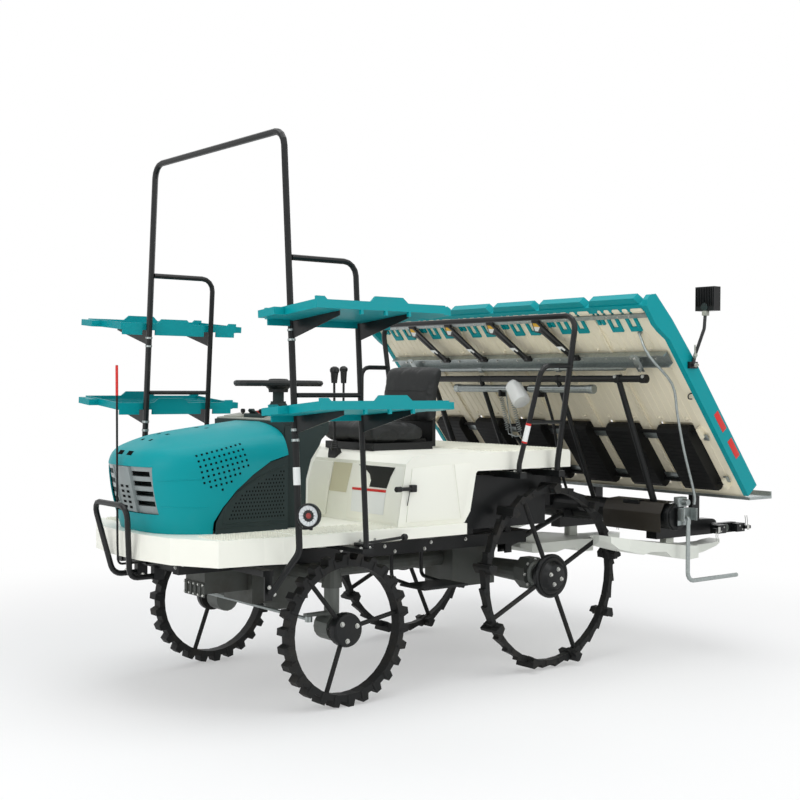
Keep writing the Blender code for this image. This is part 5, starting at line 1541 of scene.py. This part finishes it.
DECK_FRONT_LOW, DECK_FRONT_TOP = (0.95, 0.7503), (0.905, 1.03)


def on_front(y, z, out):
    """A point on the deck's sloping front, or a little in front of it."""
    (low_x, low_z), (top_x, top_z) = DECK_FRONT_LOW, DECK_FRONT_TOP
    return Vector((low_x + (top_x - low_x) * (z - low_z) / (top_z - low_z) + out, y, z))


def front_panel(corners, thick, bevel=0.0, out=0.0006):
    return eased(outward(prism([on_front(y, z, out) for y, z in corners],
                               [on_front(y, z, out + thick) for y, z in corners])), bevel)


POCKET = [(0.022, 0.878), (0.034, 1.014), (0.18, 1.014), (0.158, 0.878)]
RECESS = [(0.338, 0.916), (0.345, 0.944), (0.33, 0.972), (0.29, 0.996), (0.235, 1.012),
          (0.512, 1.012), (0.486, 0.968), (0.468, 0.916)]
BLANK = [(0.22, 0.797), (0.21, 0.894), (0.466, 0.896), (0.468, 0.797)]
BLANK_BAND = [(0.21, 0.895), (0.208, 0.906), (0.466, 0.909), (0.466, 0.897)]
MIDDLE_COWL = [(-0.198, 0.765), (-0.19, 1.016), (0.03, 1.016), (0.02, 0.88), (0.02, 0.765)]
works = [front_panel(oblong(0.186, 0.574, 0.765, 1.016), 0.003, 0.002),
         front_panel(oblong(-0.574, -0.206, 0.765, 1.016), 0.003, 0.002),
         front_panel(MIDDLE_COWL, 0.008, 0.004)]
give("deck_front_panels", works, CREAM)
give("deck_front_pocket", [front_panel(POCKET, 0.0016)], BEIGE)
# Painted shade: a flat black sheet on the deck's front stands for the dark inside of its recess
give("deck_front_recess", [front_panel(RECESS, 0.001, out=0.0044)], BLACK)
give("blank_sheet", [front_panel(BLANK, 0.0008, out=0.005)], WHITE)
give("blank_sheet_band", [front_panel(BLANK_BAND, 0.001, out=0.005)], RED)
WING_REAR = [(0.905, 0.77), (0.872, 1.01), (0.64, 1.022), (0.598, 0.77)]
WING_FRONT = [(0.585, 0.77), (0.626, 1.022), (0.52, 1.024), (0.556, 0.83), (0.575, 0.77)]
LATCH = ((0.0, 0.007), (0.005, 0.0125), (0.032, 0.0125), (0.036, 0.0085), (0.1, 0.0085))
works = both(plate(WING_REAR, "Y", 0.5803, 0.584, 0.0022))
works += both(plate(WING_FRONT, "Y", 0.5803, 0.583, 0.0018))
give("wing_panels", works, CREAM)
works = both(block((0.858, 0.888), (0.58, 0.602), (0.906, 0.938), 0.003))
works += both(turned((0.975, 0.592, 0.921), (0.86, 0.592, 0.921), LATCH, 16))
works += both(tube([(0.892, 0.592, 0.912), (0.896, 0.588, 0.88), (0.902, 0.586, 0.846)], 0.002, 6))
give("wing_latches", works, BLACK)

# %% Knobs, foot lever and step
SHIFT_KNOB = ((0.0, 0.016), (0.006, 0.022), (0.018, 0.0235), (0.028, 0.019), (0.034, 0.008))
SIDE_KNOB = ((0.0, 0.014), (0.006, 0.02), (0.018, 0.0215), (0.026, 0.017), (0.032, 0.007))
PEDAL = ((0.0, 0.008), (0.003, 0.0135), (0.012, 0.0155), (0.022, 0.013), (0.027, 0.006))
give("shift_knob", [upright(0.888, 0.0, 1.436, SHIFT_KNOB)], BLACK)
give("side_knob", [upright(0.62, -0.3, 1.446, SIDE_KNOB)], BLACK)
works = [tube([(0.886, 0.0, 1.066), (0.886, 0.0, 1.08)], 0.016, 12),
         upright(0.8855, 0.0, 1.074, folds(9, 0.005, 0.02, 0.0013, 0.0025), 20)]
give("lever_gaiter", works, VINYL)
works = [tube([(1.185, 0.655, 0.706), (1.12, 0.65, 0.708), (0.96, 0.64, 0.716)], 0.007, 10),
         turned((0.972, 0.6408, 0.7154), (0.94, 0.639, 0.717), PEDAL, 18),
         block((1.165, 1.215), (0.612, 0.69), (0.692, 0.708), 0.003)]
give("foot_lever", works, BLACK)
print("driver's place done")

# %% [markdown]
# ## Frame fittings
#
# Bolts stand where tubes and plates meet. Zinc clamp rings hold the arch above
# the lower trays, the deck rail has a red and white band, the marker pole a red
# top, and the black posts carry a blank sheet.

# %% Clamps, bands and bolts
ARCH_FOOT, ARCH_TOP = (0.7, 0.7), (0.566, 2.436)
RAIL_FOOT, RAIL_TOP = Vector((0.264, 0.63, 1.01)), Vector((0.2, 0.716, 1.48))


def on_arch(z):
    """A point on the left leg of the arch."""
    share = (z - ARCH_FOOT[1]) / (ARCH_TOP[1] - ARCH_FOOT[1])
    return Vector((1.55, ARCH_FOOT[0] + share * (ARCH_TOP[0] - ARCH_FOOT[0]), z))


def on_rail(z, side):
    """A point on a front post of the deck rail."""
    spot = RAIL_FOOT.lerp(RAIL_TOP, (z - RAIL_FOOT.z) / (RAIL_TOP.z - RAIL_FOOT.z))
    return Vector((spot.x, side * spot.y, z))


works = []
for heights, radius, length in (((1.148, 1.19), 0.0172, 0.012), ((1.56, 1.6), 0.0168, 0.01)):
    profile = ((0.0, 0.015), (0.001, radius), (length - 0.001, radius), (length, 0.015))
    for z in heights:
        start = on_arch(z)
        works += both(turned(start, start + Vector((0, -0.0077, 0.1)), profile, 20))
give("arch_clamps", works, ZINC)
POST_SHEET = ((0.0, 0.0149), (0.0005, 0.01505), (0.072, 0.01505), (0.0725, 0.0149))
give("post_sheet", [turned(on_arch(0.972), on_arch(1.072), POST_SHEET, 20)], WHITE)
for name, low_z, high_z, paint in (("rail_band_white", 1.12, 1.195, WHITE),
                                   ("rail_band_red_low", 1.112, 1.12, RED),
                                   ("rail_band_red_top", 1.195, 1.206, RED)):
    works = []
    for side in (1, -1):
        start, end = on_rail(low_z, side), on_rail(high_z, side)
        length = (end - start).length
        band = ((0.0, 0.0126), (0.0004, 0.013), (length - 0.0004, 0.013), (length, 0.0126))
        works.append(turned(start, end, band, 18))
    give(name, works, paint)
MARKER_TOP = ((0.0, 0.0052), (0.001, 0.006), (0.128, 0.006), (0.13, 0.003))
give("marker_top", [turned((2.0208, 0, 1.33), (2.022, 0, 1.46), MARKER_TOP, 12)], RED)
UP, AHEAD, ACROSS = (0, 0, 1), (1, 0, 0), (0, 1, 0)
SMALL = (0.8, 0.8, 0.8)
rows = []
for side in (1, -1):
    outside = (0, side, 0)
    # Each group: where along x, how far out, how high, where the heads look, and their size
    for xs, y, z, out, along, size in (
            ((1.603,), 0.595, 0.52, outside, AHEAD, ONE),
            ((1.627,), 0.595, 0.55, outside, AHEAD, ONE),
            ((1.188, 1.232), 0.69, 0.6905, UP, AHEAD, ONE),
            ((1.1, 1.14, 1.18), 0.61, 0.712, outside, AHEAD, SMALL),
            ((0.56, 0.74), 0.29, 0.6, outside, AHEAD, ONE),
            ((0.1, 0.3, 0.52, 0.8, 1.05, 1.3, 1.52, 1.7, 1.86), 0.29, 0.628, outside, AHEAD, ONE),
            ((0.01, 0.264), 0.6, 0.975, UP, AHEAD, ONE),
            ((1.88,), 0.265, 0.615, AHEAD, ACROSS, ONE),
            ((1.935,), 0.078, 0.5695, UP, ACROSS, ONE)):
        rows += [((x, side * y, z), facing(out, along), size) for x in xs]
repeat("frame_bolts", bolt_shape(0.013, 0.007, 0.0092), rows, BOLT)

# %% [markdown]
# ## Planting part
#
# Two zinc tubes and a white cap cover the feed shaft. Springs hang below it, a
# kinked rod runs down beside the left upright, and every planting arm ends in a
# steel claw. Olive covers lie on the beam, and the stands turn in brackets.

# %% Feed tubes, cap and springs
TUBE_X, TUBE_Z = -0.3424, 1.368
FEED_CAP = ((0.0, 0.02), (0.006, 0.036), (0.02, 0.046), (0.12, 0.05), (0.14, 0.047), (0.144, 0.04),
            (0.144, 0.0))


def below(back, y, down):
    """A point behind and below the feed shaft."""
    return (TUBE_X - back, y, TUBE_Z - down)


works = both(cross_bar(*below(0, 0.3, 0), 0.231, 0.0207, 28, 0.0006))
works += both(cross_bar(*below(0, 0.518, 0), 0.018, 0.0235, 28))
give("feed_tube_sleeves", works, ZINC, "planter")
works = [turned(below(-0.02, -0.05, -0.03), below(-0.04, 0.07, 0.1), FEED_CAP, 32)]
give("feed_cap", works, WHITE, "planter")
works = [spring(below(0, -0.165, 0.022), below(0.05, -0.15, 0.25), 0.011, 0.0018, 16),
         spring(below(0, -0.085, 0.022), below(0.06, -0.06, 0.26), 0.011, 0.0018, 16),
         tube([below(0, -0.12, 0.018), below(0.01, -0.11, 0.12), below(0.06, -0.13, 0.27)],
              0.0032, 8, smooth=4),
         tube([below(0.05, -0.15, 0.25), below(0.056, -0.105, 0.262), below(0.06, -0.06, 0.26)],
              0.0036, 8)]
give("feed_springs", works, ZINC, "planter")
works = [cross_bar(*below(0, 0, 0), 0.08, 0.015),
         tube([below(0.06, -0.105, 0.262), (-0.45, -0.1, 1.06), (-0.545, -0.06, 0.9),
               (-0.6, -0.04, 0.792)], 0.011, 10, smooth=4),
         tube([below(0, 0.18, 0.016), (-0.42, 0.17, 1.18), (-0.52, 0.12, 0.96),
               (-0.605, 0.1, 0.79)], 0.008, 10, smooth=4)]
works += both(block((TUBE_X - 0.022, TUBE_X + 0.022), (0.14, 0.16),
                    (TUBE_Z - 0.045, TUBE_Z - 0.008),
                    0.004))
give("feed_levers", works, BLACK, "planter")

# %% Kinked rod, clamps and covers
CROSS_X, CROSS_Z, BEAM_X = -0.3187, 1.4198, -0.61
ROD = [(-0.226, 0.935, 1.634), (-0.223, 0.999, 1.5265), (-0.38, 1.008, 1.396), (-0.43, 1.0, 1.25),
       (-0.5, 0.984, 1.074), (-0.62, 0.951, 0.857), (-0.636, 0.94, 0.8)]
COVER = [(-0.535, 0.652), (-0.53, 0.745), (-0.56, 0.795), (-0.65, 0.8), (-0.65, 0.8035),
         (-0.558, 0.7985), (-0.5265, 0.7465), (-0.5315, 0.652)]
works = [tube(ROD, 0.0066, 10, smooth=4), tube([(-0.238, 0.935, 1.646), ROD[0]], 0.01, 10),
         spring((CROSS_X + 0.012, 0.872, CROSS_Z + 0.03), (CROSS_X + 0.012, 0.872, CROSS_Z + 0.1),
                0.008, 0.0016, 9)]
give("rotor_rod", works, ZINC, "planter")
works = []
for y, half, radius in ((0.885, 0.019, 0.0215), (0.72, 0.019, 0.0215), (0.3, 0.015, 0.02)):
    works += both(cross_bar(CROSS_X, y, CROSS_Z, half, radius, 22))
give("cross_tube_clamps", works, BLACK, "planter")
rows = []
for side in (1, -1):
    rows += [((CROSS_X + 0.0175, side * y, CROSS_Z + 0.0105), facing((0.85, 0, 0.52), ACROSS), ONE)
             for y in (0.712, 0.892)]
    rows += [((BEAM_X + 0.032, side * y, 0.7868), facing((0.49, 0, 0.87), ACROSS), ONE)
             for y in (0.15, 0.46, 0.62)]
    rows += [((BEAM_X, side * y, 0.7948), facing(UP, ACROSS), ONE) for y in (0.7, 0.79)]
repeat("planter_bolts", bolt_shape(0.014, 0.008, 0.0098), rows, BOLT, "planter")
works = [cross_bar(BEAM_X, y, 0.73, 0.01, 0.07, 36, 0.003) for y in (-0.84, -0.6, 0.6, 0.84)]
give("beam_collars", works, BLACK, "planter")
works = both(block((-0.59, -0.545), (0.55, 0.66), (0.783, 0.803), 0.004))
give("beam_boxes", works, BLACK, "planter")
give("beam_covers", both(plate(COVER, "Y", 0.43, 0.815, 0.0008)), OLIVE, "planter")
works = both(block((-0.668, -0.604), (0.835, 0.87), (0.7795, 0.83), 0.004))
works += both(bar((-0.636, 0.862, 0.805), (-0.636, 0.905, 0.805), 0.016, sides=18, ease=0.002))
give("stand_catches", works, ZINC, "planter")

# %% Stand brackets
for word, side in SIDES:
    wide, thin = sorted((side * 0.8725, side * 0.917)), sorted((side * 0.8725, side * 0.8765))
    works = [block((x, x + 0.004), wide, (0.714, 0.776), 0.0012) for x in (-0.69, -0.594)]
    works.append(block((-0.69, -0.59), thin, (0.69, 0.776), 0.0012))
    give(f"stand_bracket_{word}", works, ZINC, "planter")

# %% Planting claws and rotor trim
ROTOR_X, ROTOR_Z, ARM_OUT = -1.055, 0.645, 0.12
CASE_LID = ((0.0, 0.024), (0.004, 0.024), (0.0065, 0.02), (0.0065, 0.0))
SHAFT_LID = ((0.0, 0.021), (0.005, 0.021), (0.008, 0.016), (0.008, 0.0))
ROTOR_BOLT = (0.7, 0.7, 0.7)
CLAW = ((0.0, 0.004), (0.003, -0.035), (-0.004, -0.062))
for word, y in (("left", 0.688), ("centre", 0.0), ("right", -0.688)):
    claws, lids, rows = [], [], []
    for side in (1, -1):
        bolt_turn = facing((0, side, 0), AHEAD)
        for end in (1, -1):
            x = ROTOR_X + end * ARM_OUT
            for prong in (-0.006, 0.006):
                path = [(x + end * out, y + side * 0.161 + prong, ROTOR_Z + end * up)
                        for out, up in CLAW]
                claws.append(tube(path, 0.0022, 6))
            claws.append(block((x - 0.009, x + 0.009),
                               sorted((y + side * 0.1722, y + side * 0.1752)),
                               (ROTOR_Z - 0.014, ROTOR_Z + 0.014), 0.001))
            case_x = ROTOR_X + end * 0.085
            lids.append(sideways(case_x, y + side * 0.1205, ROTOR_Z, side, CASE_LID, 20))
            rows += [((ROTOR_X + end * out, y + side * 0.16, ROTOR_Z + up), bolt_turn, ROTOR_BOLT)
                     for out, up in ((0.066, 0.01), (0.088, -0.01))]
        lids.append(sideways(ROTOR_X, y + side * 0.12, ROTOR_Z, side, SHAFT_LID, 20))
    give(f"planting_claws_{word}", claws, BOLT, f"rotor_{word}")
    give(f"rotor_covers_{word}", lids, BRACKET, f"rotor_{word}")
    repeat(f"rotor_bolts_{word}", bolt_shape(0.013, 0.006), rows, BOLT, f"rotor_{word}")
print("planting part done")

# %% [markdown]
# ## Engine and axle dressing
#
# Under the bonnet the engine stays one plain block. Ribs on its faces and a
# round cover on each side are enough for what shows below the frame. The front
# axle's gearbox gets a ribbed cover with bolts, and slides close the gap below
# the seat.

# %% Engine ribs, covers and seat slides
ENGINE_COVER = ((0.0, 0.034), (0.004, 0.038), (0.012, 0.038), (0.014, 0.03), (0.03, 0.03),
                (0.034, 0.024), (0.034, 0.0))
FRAME_SHIFT = Vector((REAR_AXLE_X, 0, 0))
low, high = [corner - FRAME_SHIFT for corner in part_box("engine_block")]
works = []
for step in range(7):
    x = low.x + 0.03 + (high.x - low.x - 0.06) * step / 6
    works += both(block((x - 0.004, x + 0.004), (high.y - 0.002, high.y + 0.008),
                        (low.z + 0.012, min(high.z, 0.66)), 0.0015))
for step in range(4):
    z = low.z + 0.022 + 0.026 * step
    works.append(block((high.x - 0.002, high.x + 0.007), (low.y + 0.02, high.y - 0.02),
                       (z - 0.004, z + 0.004), 0.0015))
give("engine_ribs", works, ENGINE)
works = both(sideways(high.x - 0.09, high.y - 0.002, low.z + 0.06, 1, ENGINE_COVER, 24))
give("engine_covers", works, CASTING)
works = [block((1.6385, 1.646), (-0.09, 0.09), (0.44, 0.505), 0.003)]
works += [block((1.644, 1.652), (y - 0.004, y + 0.004), (0.444, 0.501), 0.0015)
          for y in (-0.06, -0.02, 0.02, 0.06)]
give("axle_cover", works, AXLE)
rows = [((1.646, y, z), facing(AHEAD, ACROSS), ONE)
        for y in (-0.08, -0.04, 0.0, 0.04, 0.08) for z in (0.45, 0.495)]
repeat("axle_cover_bolts", bolt_shape(0.012, 0.006), rows, BOLT)
base_low, base_high = [corner - FRAME_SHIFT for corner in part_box("seat_base")]
pad_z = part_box("seat_cushion")[0].z
x0, x1 = base_low.x + 0.06, base_high.x - 0.02
works = both(block((x0, x1), (0.12, 0.15), (pad_z - 0.024, pad_z + 0.014), 0.002))
works.append(block((x0 + 0.02, x1 - 0.02), (-0.155, 0.155), (pad_z - 0.022, pad_z + 0.008), 0.002))
give("seat_slides", works, BLACK)
print("engine done")

# %% [markdown]
# ## The floor
#
# A very large pale square. Near the machine it takes the shadow. Further out
# it turns to the same white as the room, for the camera and reflections only,
# so that no horizon shows and no light is added.

# %% Floor
FLOOR_SIZE = 60.0
NEAR_WHITE = 0.35
NEAR_REACH, FAR_REACH = 1.6, 4.2
work = bmesh.new()
bmesh.ops.create_grid(work, x_segments=2, y_segments=2, size=FLOOR_SIZE / 2)
floor = link("floor", mesh_of("floor", work))
made, shader, place = finish("floor", (0.92, 0.92, 0.92, 1), 0.7, Specular_IOR_Level=0.1)
feed(shader, "Roughness", (0.66 + place.noise(2.0) * 0.1).clamped())
reach = place.node("VectorMath", {0: place}, output=1, operation="LENGTH")
whiteness = NEAR_WHITE + reach.above(NEAR_REACH, FAR_REACH) * (1.0 - NEAR_WHITE)
share = whiteness * Shade(made.node_tree, seen_directly(made.node_tree))
glow = made.node_tree.nodes.new("ShaderNodeEmission")
blended(made.node_tree, share.socket, shader.outputs[0], glow.outputs[0],
        made.node_tree.nodes["Material Output"].inputs["Surface"])
floor.data.materials.append(made)
